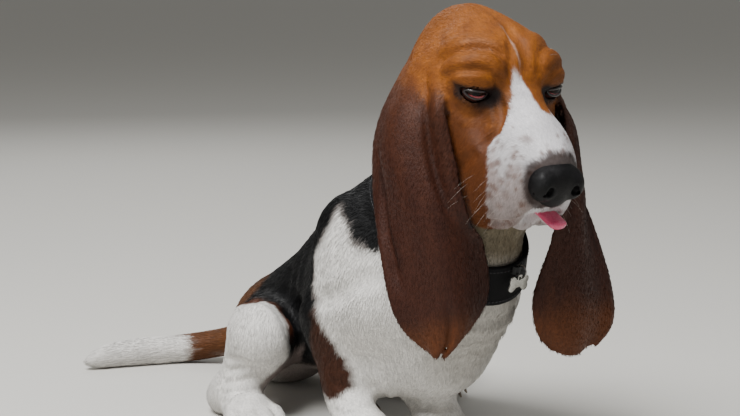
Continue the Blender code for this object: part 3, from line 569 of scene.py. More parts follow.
# Below the head the skin wrinkles where it is loose: rings on the hocks and wrists, soft rolls on the
# throat and between the forelegs, a crease where the thigh meets the flank, and the shape of the
# shoulder blade and the ribs under the coat.
def body_folds(flesh):
    for side in (-1, 1):
        back = LEFT_HIND_BACK if side > 0 else 0
        fold(flesh, [(side * x, y + back, z) for x, y, z in ((0.060, 0.262, 0.100), (0.092, 0.205, 0.122), (0.104, 0.150, 0.128), (0.090, 0.112, 0.108), (0.076, 0.104, 0.080))], 0.008, 0.0015)
        for z in (0.026, 0.036, 0.046, 0.057, 0.068):
            fold(flesh, [(side * 0.150, 0.150 + back, z), (side * 0.132, 0.126 + back, z + 0.004), (side * 0.108, 0.118 + back, z + 0.002)], 0.0045, 0.0042)
        fold(flesh, [(side * 0.090, 0.062, 0.215), (side * 0.100, 0.052, 0.180), (side * 0.102, 0.056, 0.145)], 0.010, 0.0035)
        fold(flesh, [(side * 0.070, -0.045, 0.175), (side * 0.088, -0.012, 0.160), (side * 0.100, 0.020, 0.150)], 0.010, 0.0025)
        for x, y, z in ((WRISTS["fore_right"]), (WRISTS["fore_left"])):
            if x * side > 0:
                for up in (-0.006, 0.006, 0.018):
                    fold(flesh, [(x - 0.03, y - 0.01, z + up), (x, y - 0.04, z + up - 0.003), (x + 0.03, y - 0.01, z + up)], 0.005, 0.0016)
    for drop, wide in ((0.150, 0.034), (0.132, 0.040), (0.112, 0.036), (0.096, 0.028), (0.082, 0.024)):
        fold(flesh, [(-wide, -0.080, drop + 0.010), (0, -0.120, drop), (wide, -0.080, drop + 0.012)], 0.006, 0.0042)
    for y in (0.120, 0.150, 0.182):
        fold(flesh, [(-0.05, y, 0.20 - 0.55 * (y - 0.1)), (-0.085, y - 0.004, 0.155 - 0.5 * (y - 0.1)), (-0.088, y - 0.006, 0.10 - 0.3 * (y - 0.1))], 0.012, 0.0016)
        fold(flesh, [(0.05, y, 0.20 - 0.55 * (y - 0.1)), (0.085, y - 0.004, 0.155 - 0.5 * (y - 0.1)), (0.088, y - 0.006, 0.10 - 0.3 * (y - 0.1))], 0.012, 0.0016)


flesh = Flesh((-0.23, -0.30, -0.02), (0.19, 0.49, 0.47), GRAIN)
torso(flesh)
neck(flesh)
skull(flesh)
face(flesh)
for side, which in ((-1, "fore_right"), (1, "fore_left")):
    foreleg(flesh, side, WRISTS[which], FEET[which][1])
hindleg(flesh, -1, 0, FEET["hind_right"][1])
hindleg(flesh, 1, LEFT_HIND_BACK, FEET["hind_left"][1])
for foot in FEET.values():
    paw(flesh, *foot)
tail(flesh)
for side in (-1, 1):
    flesh.melt(ball((side * 0.042, 0.004, 0.086), (0.028, 0.040, 0.036)), 0.02)
body_folds(flesh)
unhung = Flesh.__new__(Flesh)
unhung.low, unhung.step, unhung.value = flesh.low, flesh.step, flesh.value.copy()
leathers = [
    hang_ear(flesh, EAR_ROWS["right"], right_folds, -1),
    hang_ear(flesh, EAR_ROWS["left"], left_folds, 1),
]
floor_gap = -COAT_DEPTH - flesh.lines[2]
flesh.value = np.maximum(flesh.value, floor_gap[None, None, :])


# The skin: dog hide, laid over all the flesh in one closed piece, thinned where it is plain and kept
# fine on the face. It carries the markings, the lie and the length of the coat, so
# that the hairs rooted in it take their colour and their way from the same place.
SKIN_TRIANGLES = 190000
SHIFT = np.array((Vector(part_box("eye_right")[0]) + Vector(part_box("eye_right")[1])) / 2 - eye_centre(-1))
FLESH_NODES = ["head", "neck", "torso", "tail", "lower_jaw", "ear_right", "ear_left"]
FLESH_NODES += [f"{limb_name}_{side}" for limb_name in ("foreleg", "forepaw", "hindleg", "hindpaw") for side in ("right", "left")]
SIDES = ((-1, "right"), (1, "left"))


def colour(code):
    """An sRGB hex colour as linear values."""
    values = [int(code[i : i + 2], 16) / 255 for i in (1, 3, 5)]
    return (*[v / 12.92 if v <= 0.04045 else ((v + 0.055) / 1.055) ** 2.4 for v in values], 1.0)


def add(tree, kind, inputs=None, **settings):
    """Adds a node with its own settings; inputs give each named socket a value or another's output."""
    made = tree.nodes.new(kind)
    for name, value in settings.items():
        setattr(made, name, value)
    for name, value in (inputs or {}).items():
        if isinstance(value, bpy.types.NodeSocket):
            tree.links.new(value, made.inputs[name])
        else:
            made.inputs[name].default_value = value
    return made


def new_material(name):
    """An empty material with its output, and the tree to build it in."""
    made = bpy.data.materials.new(name)
    made.use_nodes = True
    made.node_tree.nodes.clear()
    return made, made.node_tree


def finish_material(tree, shader):
    output = add(tree, "ShaderNodeOutputMaterial")
    tree.links.new(shader.outputs[0], output.inputs["Surface"])


def settle(made, material, slot, *nodes):
    """Gives a piece its finish and its body, and hides the solids that it stands for. Its slot is not used."""
    made.data.materials.clear()
    made.data.materials.append(material)
    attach(made, "root")
    if nodes:
        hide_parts(*nodes)


def mesh_piece(name, points, faces):
    """A smooth mesh through points given in the hound's own measure."""
    mesh = bpy.data.meshes.new(name)
    mesh.from_pydata((np.array(points, float) + SHIFT).tolist(), [], [list(map(int, face)) for face in faces])
    mesh.shade_smooth()
    made = bpy.data.objects.new(name, mesh)
    bpy.context.scene.collection.objects.link(made)
    return made


def evaluated(obj):
    """Replaces an object's mesh by what its modifiers make of it."""
    graph = bpy.context.evaluated_depsgraph_get()
    mesh = bpy.data.meshes.new_from_object(obj.evaluated_get(graph), depsgraph=graph)
    obj.modifiers.clear()
    obj.data = mesh


def places(mesh):
    """The points of a mesh in the hound's own measure."""
    flat = np.empty(3 * len(mesh.vertices), np.float32)
    mesh.vertices.foreach_get("co", flat)
    return flat.reshape(-1, 3) - SHIFT


def in_head_axes(points):
    """Side, forward and up in the head for each point."""
    ahead, above = np.array(in_head(0, 1, 0) - EYES_AT), np.array(in_head(0, 0, 1) - EYES_AT)
    offset = points - np.array(EYES_AT)
    return offset[:, 0], offset @ ahead, offset @ above


skin = mesh_piece("skin", *flesh.skin(-COAT_DEPTH))
where = places(skin.data)
looseness = 0.12 + 0.88 * rise(np.linalg.norm((where - np.array(in_head(0, 0.01, -0.04))) / (1, 1, 1), axis=1), 0.075, 0.12)
group = skin.vertex_groups.new(name="plain")
for level in np.unique(np.round(looseness, 1)):
    group.add(np.flatnonzero(np.round(looseness, 1) == level).tolist(), float(level), "REPLACE")
thin = skin.modifiers.new("thin", "DECIMATE")
thin.ratio = min(1.0, SKIN_TRIANGLES / (2 * len(skin.data.polygons)))
thin.vertex_group = "plain"
thin.use_collapse_triangulate = True
evaluated(skin)
skin.vertex_groups.clear()
skin.data.name = "skin_mesh"
print("skin triangles", len(skin.data.polygons))


# The markings: a three-coloured coat. Tan head and ears, black over the neck, back and flanks, brown
# where the black runs out, and white muzzle, chest, legs and tail tip. Each field is an outline drawn
# on the side view or on the face, and the hair grows in that colour from its root. Painted shade is
# laid over them in places: the throat and lower chest, the tan below the eyes, the inner eye corners
# and the hair in the grooves are darkened where shade falls, and the grey on the lower flews and the
# side of the muzzle is partly painted shade.
TAN = "#96571C"
TAN_DEEP = "#5A2F12"
EAR_DARK = "#33160C"
EAR_LIGHT = "#3E1E0F"
WHITE = "#DEDBD6"
BLACK = "#040405"
RIM = "#33190E"
BROWN = "#361A0B"
PIGMENT_AND_SHADE = "#1E1413"
FRECKLE_AND_SHADE = "#6E5144"
BELLY = "#8C7D78"
THROAT_PAINTED_SHADE = "#5A4E34"
BLACK_FIELD = (
    (-0.056, 0.212), (-0.033, 0.220), (-0.021, 0.233), (0.004, 0.250), (0.009, 0.231), (0.024, 0.211),
    (0.034, 0.190), (0.026, 0.165), (0.016, 0.140), (0.030, 0.105), (0.050, 0.072), (0.110, 0.052),
    (0.200, 0.046), (0.262, 0.058), (0.290, 0.085), (0.318, 0.118), (0.33, 0.22), (0.20, 0.36),
    (0.02, 0.36), (-0.040, 0.328), (-0.072, 0.296), (-0.080, 0.250),
)
HEAD_FIELD = (
    (-0.30, 0.52), (-0.31, 0.20), (-0.20, 0.226), (-0.165, 0.243), (-0.130, 0.262), (-0.100, 0.280),
    (-0.060, 0.302), (-0.030, 0.326), (0.0, 0.350), (0.03, 0.40), (0.03, 0.52),
)
LEG_PATCH = (
    (0.012, 0.142), (-0.002, 0.118), (-0.006, 0.100), (-0.010, 0.083), (-0.011, 0.068), (-0.004, 0.056),
    (0.012, 0.050), (0.045, 0.060), (0.075, 0.090), (0.072, 0.135), (0.040, 0.160),
)
FACE_EDGE = (
    (0.028, -0.004), (0.010, 0.015), (-0.003, 0.029), (-0.013, 0.036), (-0.022, 0.041), (-0.033, 0.037),
    (-0.043, 0.044), (-0.055, 0.054), (-0.088, 0.060), (-0.125, 0.058),
)
BLAZE_EDGE = ((0.030, -0.008), (0.018, -0.005), (0.008, 0.001), (0.000, 0.004), (-0.006, 0.016), (-0.010, 0.060))
BLAZE_OTHER = ((0.030, -0.009), (0.012, -0.0135), (-0.003, -0.019), (-0.013, -0.028), (-0.022, -0.036), (-0.033, -0.05), (-0.04, -0.1))


def signed(across, up, outline):
    """How deep inside a smooth closed outline each flat point lies; below nothing outside it."""
    ring = np.array(outline + outline[:3])
    line = smooth_line(ring, 4)[4:-4]
    nearest = np.full(len(across), 1.0)
    within = np.zeros(len(across), bool)
    for (ax, ay), (bx, by) in zip(line, line[1:]):
        t = np.clip(((across - ax) * (bx - ax) + (up - ay) * (by - ay)) / ((bx - ax) ** 2 + (by - ay) ** 2), 0, 1)
        nearest = np.minimum(nearest, np.hypot(across - ax - t * (bx - ax), up - ay - t * (by - ay)))
        if ay != by:
            within ^= ((ay > up) != (by > up)) & (across < (bx - ax) * (up - ay) / (by - ay) + ax)
    return np.where(within, nearest, -nearest)


def ripple(points, scale, seed):
    """A smooth wandering value between -1 and 1, for edges and tones that aren't drawn with a rule."""
    random = np.random.default_rng(seed)
    total = 0
    for octave in range(4):
        wave = random.normal(size=3) / scale * 1.7**octave
        other = random.normal(size=3) / scale * 1.7**octave
        total = total + np.sin(points @ wave + random.uniform(0, 6)) * np.sin(points @ other + octave) / 1.4**octave
    return total / 1.9


def sample(place, block, points):
    """The distances in one ear's own block at each of the points."""
    part = (points - place) / flesh.step
    whole = np.clip(np.round(part).astype(int), 0, np.array(block.shape) - 1)
    outside = (np.abs(part - whole) > 1).any(axis=1)
    return np.where(outside, FAR, block[tuple(whole.T)])


where = places(skin.data)
x, y, z = where.T.astype(float)
side, ahead, up = in_head_axes(where)
wander = ripple(where, 0.012, 3)
fine = ripple(where, 0.004, 5)
ears = np.minimum(*[sample(*leather, where) for leather in leathers])
on_ear = (1 - rise(ears, 0.0, 0.0025)) * (1 - rise(z + 0.006 * ripple(where, 0.012, 3), 0.335, 0.415) * 0.8)
thigh = np.full(len(where), 1.0)
for which, back in ((-1, 0.0), (1, LEFT_HIND_BACK)):
    upper = limb((which * 0.073, 0.195 + back, 0.080, 0.044), (which * 0.106, 0.134 + back, 0.094, 0.033))
    lower = limb(
        (which * 0.106, 0.138 + back, 0.092, 0.033),
        (which * 0.114, 0.158 + back, 0.055, 0.028),
        (which * 0.122, 0.186 + back, 0.024, 0.022),
        (which * 0.120, 0.140 + back, 0.020, 0.034),
    )
    thigh = np.minimum(thigh, np.minimum(upper[0](x, y, z), lower[0](x, y, z)))
thigh_white = 1 - rise(thigh + 0.002 * wander, 0.004, 0.007)
outer_side = rise(abs(x) + 0.002 * wander - 0.022 * (1 - rise(z, 0.035, 0.075)), 0.088, 0.095)
inner_thigh = thigh_white * (1 - outer_side) * (1 - rise(z + 0.003 * wander, 0.070, 0.082))
thigh_white = thigh_white * outer_side
black_depth = signed(y, z, BLACK_FIELD) + 0.0025 * wander + 0.0012 * fine
head_depth = signed(y, z, HEAD_FIELD) + 0.002 * wander
patch_depth = np.where(x < -0.03, signed(y, z, LEG_PATCH), signed(y + 0.012, z, LEG_PATCH)) + 0.002 * wander
patch_depth = np.where(abs(x) > 0.055 + 0.5 * np.clip(0.10 - z, 0, 0.03), patch_depth, -0.01)


def blend(under, over, share):
    """Lays one colour over another, by a share at each point."""
    over = np.array(colour(over)[:3] if isinstance(over, str) else over)
    return under + (over - under) * np.clip(share, 0, 1)[:, None]


hair = np.tile(np.array(colour(WHITE)[:3]), (len(where), 1))
# Painted shade: the throat and the lower chest, which lie in shade under the head, are darkened to a shaded cream, most
# high on the throat under the chin.
hair = blend(hair, THROAT_PAINTED_SHADE, (0.42 + 0.52 * rise(z, 0.185, 0.22)) * (1 - rise(y, -0.11, -0.06)) * rise(z, 0.05, 0.09))
hair = blend(hair, BELLY, (1 - rise(z, 0.040, 0.062)) * rise(y, 0.085, 0.11) * (1 - rise(y, 0.25, 0.28)) * (1 - rise(abs(x), 0.085, 0.10)) * 0.8)
hair = blend(hair, RIM, rise(black_depth, -0.0060, -0.0015) * 0.75)
hair = blend(hair, BROWN, rise(patch_depth, -0.0015, 0.0025))
hair = blend(hair, BLACK, rise(black_depth, -0.0020, 0.0020))
rump = rise(y + 0.006 * wander, 0.262, 0.290) * np.maximum(rise(z, 0.004, 0.02), rise(y, 0.36, 0.40))
hair = blend(hair, "#5C381D", rump)
hair = blend(hair, BLACK, 0.55 * rise(z, 0.100, 0.122) * (1 - rise(y, 0.335, 0.36)) * rise(y, 0.28, 0.30))
hair = blend(hair, "#4E2814", (1 - rise(thigh + 0.003 * wander, 0.009, 0.015)) * rise(abs(x), 0.076, 0.086) * rise(z, 0.085, 0.110) * 0.9)
hair = blend(hair, BELLY, 0.8 * inner_thigh)
hair = blend(hair, WHITE, thigh_white)
tail_tip = rise(-x + 0.004 * wander, 0.062, 0.069) * rise(y, 0.38, 0.40)
hair = blend(hair, TAN_DEEP, 0.35 * rise(-x, 0.02, 0.06) * rise(y, 0.38, 0.40))
hair = blend(hair, WHITE, tail_tip)
tan = np.tile(np.array(colour(TAN)[:3]), (len(where), 1))
# Painted shade: the tan is deepened below the eyes, where the face is in shade, and a little towards the back of the
# head.
tan = blend(tan, TAN_DEEP, 0.95 * rise(-up + 0.012 * wander, -0.004, 0.040) + 0.25 * rise(-ahead, 0.06, 0.14))
tan = blend(tan, TAN_DEEP, 0.35 + 0.35 * wander)
hair = blend(hair, tan, rise(head_depth, -0.003, 0.003))
leather_tone = np.tile(np.array(colour(EAR_DARK)[:3]), (len(where), 1))
leather_tone = blend(leather_tone, EAR_LIGHT, 0.75 * rise(z + 0.01 * wander, 0.25, 0.37) + 0.22 + 0.22 * wander)
leather_tone = blend(leather_tone, TAN_DEEP, 0.85 * (1 - rise(z + 0.4 * (y + 0.13), 0.13, 0.160)))
hair = blend(hair, leather_tone, on_ear)
edge = np.interp(-up, [-u for u, _ in FACE_EDGE], [f for _, f in FACE_EDGE])
limit = np.interp(-up, [-u for u, _ in BLAZE_EDGE], [s for _, s in BLAZE_EDGE])
muzzle = rise(ahead - edge + 0.0022 * wander + 0.0016 * fine, -0.0016, 0.0016)
muzzle *= rise(limit - side + 0.0012 * fine, -0.0014, 0.0014) * (1 - rise(up, 0.015, 0.026)) * (1 - on_ear)
other = np.interp(-up, [-u for u, _ in BLAZE_OTHER], [s for _, s in BLAZE_OTHER])
muzzle *= rise(side - other + 0.0012 * fine, -0.0014, 0.0014)
muzzle *= 1 - rise(z, 0.42, 0.44)
stripe = (1 - rise(abs(side + 0.0040 + 0.001 * wander), 0.0006, 0.0020)) * rise(up, 0.022, 0.028)
stripe *= (1 - rise(-ahead, 0.028, 0.040)) * rise(ahead, -0.05, -0.02)
hair = blend(hair, "#C0A79A", 0.45 * stripe)
hair = blend(hair, "#D2CFD1", muzzle)
freckles = np.zeros(len(where))
random = np.random.default_rng(11)
on_muzzle = np.flatnonzero((muzzle > 0.9) & (up < -0.012))
for spot in where[random.choice(on_muzzle, 190, replace=False)]:
    size = random.uniform(0.0008, 0.0030)
    near = np.linalg.norm(where - spot, axis=1) + 0.0010 * fine
    freckles = np.maximum(freckles, (1 - rise(near, 0.4 * size, 1.9 * size)) * random.uniform(0.25, 0.8))
hair = blend(hair, FRECKLE_AND_SHADE, freckles * muzzle)
# Partly the grey ticking of the white, partly painted shade: the lowest part of the flews and the right side of the
# muzzle are darkened where they face down and sideways, away from the light above.
hair = blend(hair, FRECKLE_AND_SHADE, 0.5 * muzzle * (1 - rise(up + 0.010 * wander, -0.108, -0.088)))
hair = blend(hair, FRECKLE_AND_SHADE, 0.62 * muzzle * rise(-up + 0.014 * wander, 0.026, 0.066) * rise(-side, 0.008, 0.020))
nose_gap = np.sqrt((0.92 * side) ** 2 + (ahead - 0.093) ** 2 + (up + 0.047) ** 2)
hair = blend(hair, "#2E1C15", 0.92 * (1 - rise(nose_gap + 0.002 * wander, 0.0250, 0.0310)))
for which in (-1, 1):
    rim_gap = almond(which)[0](x, y, z)
    inner = np.linalg.norm(where - np.array(in_head(which * 0.0295, 0.012, -0.001)), axis=1)
    # The lid rims are dark pigmented skin.
    hair = blend(hair, PIGMENT_AND_SHADE, 0.96 * (1 - rise(rim_gap + 0.0006 * fine, 0.0016, 0.0066)))
    # Painted shade: a dark patch at the inner corner of each eye, where shade falls between the eye and the muzzle.
    hair = blend(hair, PIGMENT_AND_SHADE, 0.96 * (1 - rise(inner + 0.002 * wander, 0.0055, 0.0130)))
lip_gap = np.min([np.linalg.norm(where - np.array(in_head(*spot)), axis=1) for spot in smooth_line(MOUTH, 6)], axis=0)
hair = blend(hair, PIGMENT_AND_SHADE, 0.9 * (1 - rise(lip_gap + 0.001 * fine, 0.0025, 0.0055)))
# Painted shade: the hair along the grooves and ear creases is darkened by up to 55 percent, as where shade falls in a
# fold; the wander and fine terms vary the tone at random.
fold_shade = np.zeros(len(where))
for spot, reach_of in painted_crease_spots:
    near = ((where - spot) ** 2).sum(1)
    fold_shade = np.maximum(fold_shade, np.exp(-near / (0.45 * reach_of) ** 2))
hair = hair * (1 + 0.10 * wander + 0.07 * fine)[:, None] * (1 - 0.55 * fold_shade)[:, None]

# The lie and length of the coat, set at places a groomer would name and blended between.
# Each line: the place, the way the hair lies there, its length in mm.
LIE = (
    ((0, -0.232, 0.310), (0, 0.8, 0.5), 3.5), ((0, -0.195, 0.352), (0, 0.8, 0.6), 4.5), ((0, -0.170, 0.390), (0, 0.7, 0.7), 5.5),
    ((0, -0.120, 0.435), (0, 1, 0.2), 7), ((0, -0.060, 0.430), (0, 1, -0.6), 8), ((0, -0.020, 0.360), (0, 0.5, -1), 11),
    ((0.045, -0.170, 0.400), (0.7, 0.6, 0.2), 5), ((-0.045, -0.170, 0.400), (-0.7, 0.6, 0.2), 5),
    ((0.052, -0.165, 0.340), (0.2, 0.5, -0.8), 6), ((-0.052, -0.165, 0.340), (-0.2, 0.5, -0.8), 6),
    ((0.036, -0.205, 0.290), (0.1, 0.6, -0.8), 4.5), ((-0.036, -0.205, 0.290), (-0.1, 0.6, -0.8), 4.5),
    ((0.035, -0.190, 0.262), (0, 0.3, -1), 5.5), ((-0.035, -0.190, 0.262), (0, 0.3, -1), 5.5),
    ((0, -0.225, 0.262), (0, 0.1, -1), 4), ((0, -0.150, 0.240), (0, 0.2, -1), 10), ((0, -0.130, 0.180), (0, 0.1, -1), 13),
    ((0.085, -0.110, 0.340), (0, -0.3, -1), 4), ((-0.085, -0.110, 0.340), (0, -0.3, -1), 4),
    ((0.100, -0.140, 0.230), (0, -0.1, -1), 4), ((-0.090, -0.130, 0.230), (0, -0.2, -1), 4),
    ((0.095, -0.150, 0.130), (0, 0, -1), 3.5), ((-0.070, -0.145, 0.140), (0, -0.1, -1), 3.5),
    ((0, 0.040, 0.290), (0, 1, -0.7), 15), ((0.060, 0.000, 0.260), (0.2, 0.7, -0.8), 15), ((-0.060, 0.000, 0.260), (-0.2, 0.7, -0.8), 15),
    ((0, 0.150, 0.220), (0, 1, -0.6), 14), ((0, 0.300, 0.120), (0, 1, -0.6), 15), ((0, 0.380, 0.050), (0, 1, -0.3), 15),
    ((0.090, 0.120, 0.160), (0.1, 0.8, -0.6), 12), ((-0.090, 0.120, 0.160), (-0.1, 0.8, -0.6), 12),
    ((0.070, 0.240, 0.110), (0.2, 0.8, -0.6), 13), ((-0.070, 0.240, 0.110), (-0.2, 0.8, -0.6), 13),
    ((0.090, 0.000, 0.190), (0.1, 0.3, -1), 13), ((-0.090, 0.000, 0.190), (-0.1, 0.3, -1), 13),
    ((0, -0.110, 0.130), (0, 0.2, -1), 14), ((0, -0.040, 0.060), (0, 0.8, -0.3), 11), ((0, 0.100, 0.050), (0, 1, 0), 9),
    ((0.090, 0.020, 0.120), (0, 0.3, -1), 9), ((-0.095, 0.020, 0.120), (0, 0.3, -1), 9),
    ((0.020, -0.010, 0.060), (0, -0.1, -1), 7), ((-0.075, 0.000, 0.060), (0, -0.1, -1), 7),
    ((0.010, -0.060, 0.025), (0, -1, -0.3), 4.5), ((-0.075, -0.055, 0.025), (0, -1, -0.3), 4.5),
    ((0.100, 0.190, 0.110), (0.2, -0.5, -0.4), 10), ((-0.105, 0.150, 0.110), (-0.2, -0.5, -0.6), 10),
    ((0.125, 0.190, 0.080), (0.1, 0.3, -1), 9), ((-0.130, 0.150, 0.080), (-0.1, 0.3, -1), 9),
    ((0.125, 0.215, 0.030), (0, 0.2, -1), 7), ((-0.128, 0.180, 0.030), (0, 0.2, -1), 7),
    ((0.112, 0.125, 0.025), (0, -1, -0.3), 4.5), ((-0.135, 0.085, 0.025), (0, -1, -0.3), 4.5),
    ((-0.040, 0.410, 0.035), (-0.8, 0.6, -0.1), 13), ((-0.100, 0.440, 0.025), (-1, 0.25, 0), 15), ((-0.140, 0.451, 0.020), (-1, 0, 0), 15), ((-0.185, 0.451, 0.012), (-1, 0, 0), 9),
)
seats = np.array([place for place, _, _ in LIE])
ways = np.array([way for _, way, _ in LIE], float)
ways /= np.linalg.norm(ways, axis=1, keepdims=True)
lengths = np.array([4 + 0.55 * (length - 4) for _, _, length in LIE]) / 1000
weight = 1 / (((where[:, None] - seats[None]) ** 2).sum(-1) + 1e-4) ** 2
weight /= weight.sum(1, keepdims=True)
outward = flesh.outward(where.astype(float))
lie = weight @ ways
lie -= outward * (lie * outward).sum(1, keepdims=True)
lie /= np.linalg.norm(lie, axis=1, keepdims=True) + 1e-6
long = np.minimum(weight @ lengths, np.where(on_ear > 0.5, 1, 0.45 * np.maximum(ears, 0.002) + 0.001))
bare = np.maximum(1 - rise(nose_gap, 0.0235, 0.0260), 1 - rise(z, 0.0005, 0.002))
for which in (-1, 1):
    bare = np.maximum(bare, 1 - rise(almond(which)[0](x, y, z), 0.0010, 0.0022))
bare = np.maximum(bare, 1 - rise(lip_gap, 0.0015, 0.003))


def keep(mesh, name, kind, values, domain="POINT"):
    """Writes one value for each point of a mesh under a name."""
    layer = mesh.attributes.new(name, kind, domain)
    slot_name = {"FLOAT_VECTOR": "vector", "FLOAT_COLOR": "color"}.get(kind, "value")
    layer.data.foreach_set(slot_name, np.ascontiguousarray(values, np.int32 if kind == "INT" else np.float32).ravel())


keep(skin.data, "coat_colour", "FLOAT_COLOR", np.hstack([hair, np.ones((len(hair), 1))]))
keep(skin.data, "lie", "FLOAT_VECTOR", lie)
keep(skin.data, "long", "FLOAT", long)


# The finish of skin and coat: dog hair, keratin over hide, brushed and dry. Hair gives a broad soft
# sheen along its length, darker at the root and paler at the tip, with no two tufts quite alike.
def hair_material(name, on_skin):
    made, tree = new_material(name)
    tone = add(tree, "ShaderNodeAttribute", attribute_name="coat_colour")
    place = add(tree, "ShaderNodeTexCoord")
    speckle = add(tree, "ShaderNodeTexNoise", {"Vector": place.outputs["Object"], "Scale": 420.0, "Detail": 3.0})
    swing = add(tree, "ShaderNodeMapRange", {"Value": speckle.outputs["Fac"], "From Min": 0.3, "From Max": 0.7, "To Min": 0.80, "To Max": 1.14})
    if on_skin:
        shade = swing.outputs["Result"]
    else:
        along = add(tree, "ShaderNodeAttribute", attribute_name="along")
        paling = add(tree, "ShaderNodeMapRange", {"Value": along.outputs["Fac"], "To Min": 0.82, "To Max": 1.12})
        each = add(tree, "ShaderNodeAttribute", attribute_name="each")
        apart = add(tree, "ShaderNodeMapRange", {"Value": each.outputs["Fac"], "To Min": 0.84, "To Max": 1.16})
        shade = add(tree, "ShaderNodeMath", operation="MULTIPLY")
        tree.links.new(paling.outputs["Result"], shade.inputs[0])
        tree.links.new(apart.outputs["Result"], shade.inputs[1])
        shade = shade.outputs["Value"]
    scaled = add(tree, "ShaderNodeVectorMath", {"Vector": tone.outputs["Color"], "Scale": shade}, operation="SCALE")
    shader = add(tree, "ShaderNodeBsdfPrincipled", {"Base Color": scaled.outputs["Vector"], "Roughness": 0.55, "IOR": 1.54, "Specular IOR Level": 0.2})
    shader.inputs["Sheen Weight"].default_value = 0.01
    shader.inputs["Sheen Roughness"].default_value = 0.4
    if on_skin:
        grain = add(tree, "ShaderNodeTexNoise", {"Vector": place.outputs["Object"], "Scale": 700.0, "Detail": 4.0})
        bump = add(tree, "ShaderNodeBump", {"Height": grain.outputs["Fac"], "Strength": 0.5, "Distance": 0.0008})
        tree.links.new(bump.outputs["Normal"], shader.inputs["Normal"])
    finish_material(tree, shader)
    return made


hide = hair_material("short_coat_on_hide", True)
tuft_hair = hair_material("short_coat_hair", False)
settle(skin, hide, "coat", *FLESH_NODES)
bpy.context.view_layer.objects.active = skin
skin.select_set(True)
bpy.ops.object.mode_set(mode="EDIT")
bpy.ops.mesh.select_all(action="SELECT")
bpy.ops.uv.smart_project(angle_limit=math.radians(66), island_margin=0.001)
bpy.ops.object.mode_set(mode="OBJECT")
skin.data.uv_layers[0].name = "OFBake"


# The coat: short hair that lies close, in tufts of a few dozen hairs. Each tuft is a slim three-sided
# blade, rooted in the skin and combed along the lie. Every part of the body has its own piece, and
# each tuft keeps the colour of its root and a small patch at its root's place on the unwrapped skin.
PIECES = {
    "coat_muzzle": (((0, -0.215, 0.30),), 12500, 0.75),
    "coat_face_right": (((-0.045, -0.165, 0.35),), 14000, 0.8),
    "coat_face_left": (((0.045, -0.165, 0.35),), 10000, 0.8),
    "coat_crown": (((0, -0.09, 0.44), (0, -0.13, 0.42)), 10500, 0.9),
    "coat_throat": (((0, -0.12, 0.23), (0, -0.10, 0.28)), 4500, 1.2),
    "coat_ear_right": (((-0.090, -0.135, 0.31), (-0.080, -0.150, 0.24), (-0.070, -0.155, 0.16)), 13500, 1.0),
    "coat_ear_left": (((0.095, -0.135, 0.31), (0.100, -0.150, 0.24), (0.095, -0.160, 0.15)), 11500, 1.0),
    "coat_neck": (((0, -0.02, 0.33), (0, 0.02, 0.28)), 6500, 1.2),
    "coat_chest": (((0, -0.10, 0.15), (0, -0.06, 0.09)), 7000, 1.25),
    "coat_shoulder_right": (((-0.09, 0.01, 0.18),), 8000, 1.2),
    "coat_shoulder_left": (((0.09, 0.01, 0.18),), 6000, 1.2),
    "coat_back": (((0, 0.10, 0.22), (0, 0.16, 0.18), (-0.07, 0.12, 0.13), (0.07, 0.12, 0.13)), 10000, 1.3),
    "coat_rump": (((0, 0.28, 0.10), (0, 0.33, 0.06), (-0.05, 0.24, 0.05), (0.05, 0.24, 0.05)), 7000, 1.3),
    "coat_foreleg_right": (((-0.080, 0.02, 0.09), (-0.073, -0.04, 0.02)), 6500, 0.85),
    "coat_foreleg_left": (((0.040, 0.00, 0.08), (0.010, -0.05, 0.02)), 5500, 0.85),
    "coat_hindleg_right": (((-0.115, 0.16, 0.10), (-0.125, 0.18, 0.03), (-0.13, 0.10, 0.02)), 8000, 0.95),
    "coat_hindleg_left": (((0.110, 0.20, 0.10), (0.125, 0.22, 0.03), (0.11, 0.14, 0.02)), 6000, 0.95),
    "coat_tail": (((-0.02, 0.40, 0.03), (-0.08, 0.43, 0.02), (-0.15, 0.45, 0.015)), 5500, 1.2),
}

seeds = [(np.array(seed), number) for number, (places_, _, _) in enumerate(PIECES.values()) for seed in places_]
middles = np.empty(3 * len(skin.data.polygons), np.float32)
skin.data.polygons.foreach_get("center", middles)
middles = middles.reshape(-1, 3) - SHIFT
corner = np.empty(len(skin.data.loops), np.int32)
skin.data.loops.foreach_get("vertex_index", corner)
first = np.empty(len(skin.data.polygons), np.int32)
skin.data.polygons.foreach_get("loop_start", first)
sizes = np.empty(len(skin.data.polygons), np.float32)
skin.data.polygons.foreach_get("area", sizes)
face_on_ear = on_ear[corner[first]] > 0.5
face_bare = bare[corner[first]] > 0.5
ear_numbers = [list(PIECES).index(name) for name in ("coat_ear_right", "coat_ear_left")]
gaps = np.array([
    np.linalg.norm(middles - seed, axis=1) + (0.5 * ~face_on_ear if number in ear_numbers else 0.5 * face_on_ear)
    for seed, number in seeds
])
part_of = np.array([number for _, number in seeds])[gaps.argmin(axis=0)]
part_of = np.where(face_bare, -1, part_of)
keep(skin.data, "part_of", "INT", part_of, "FACE")


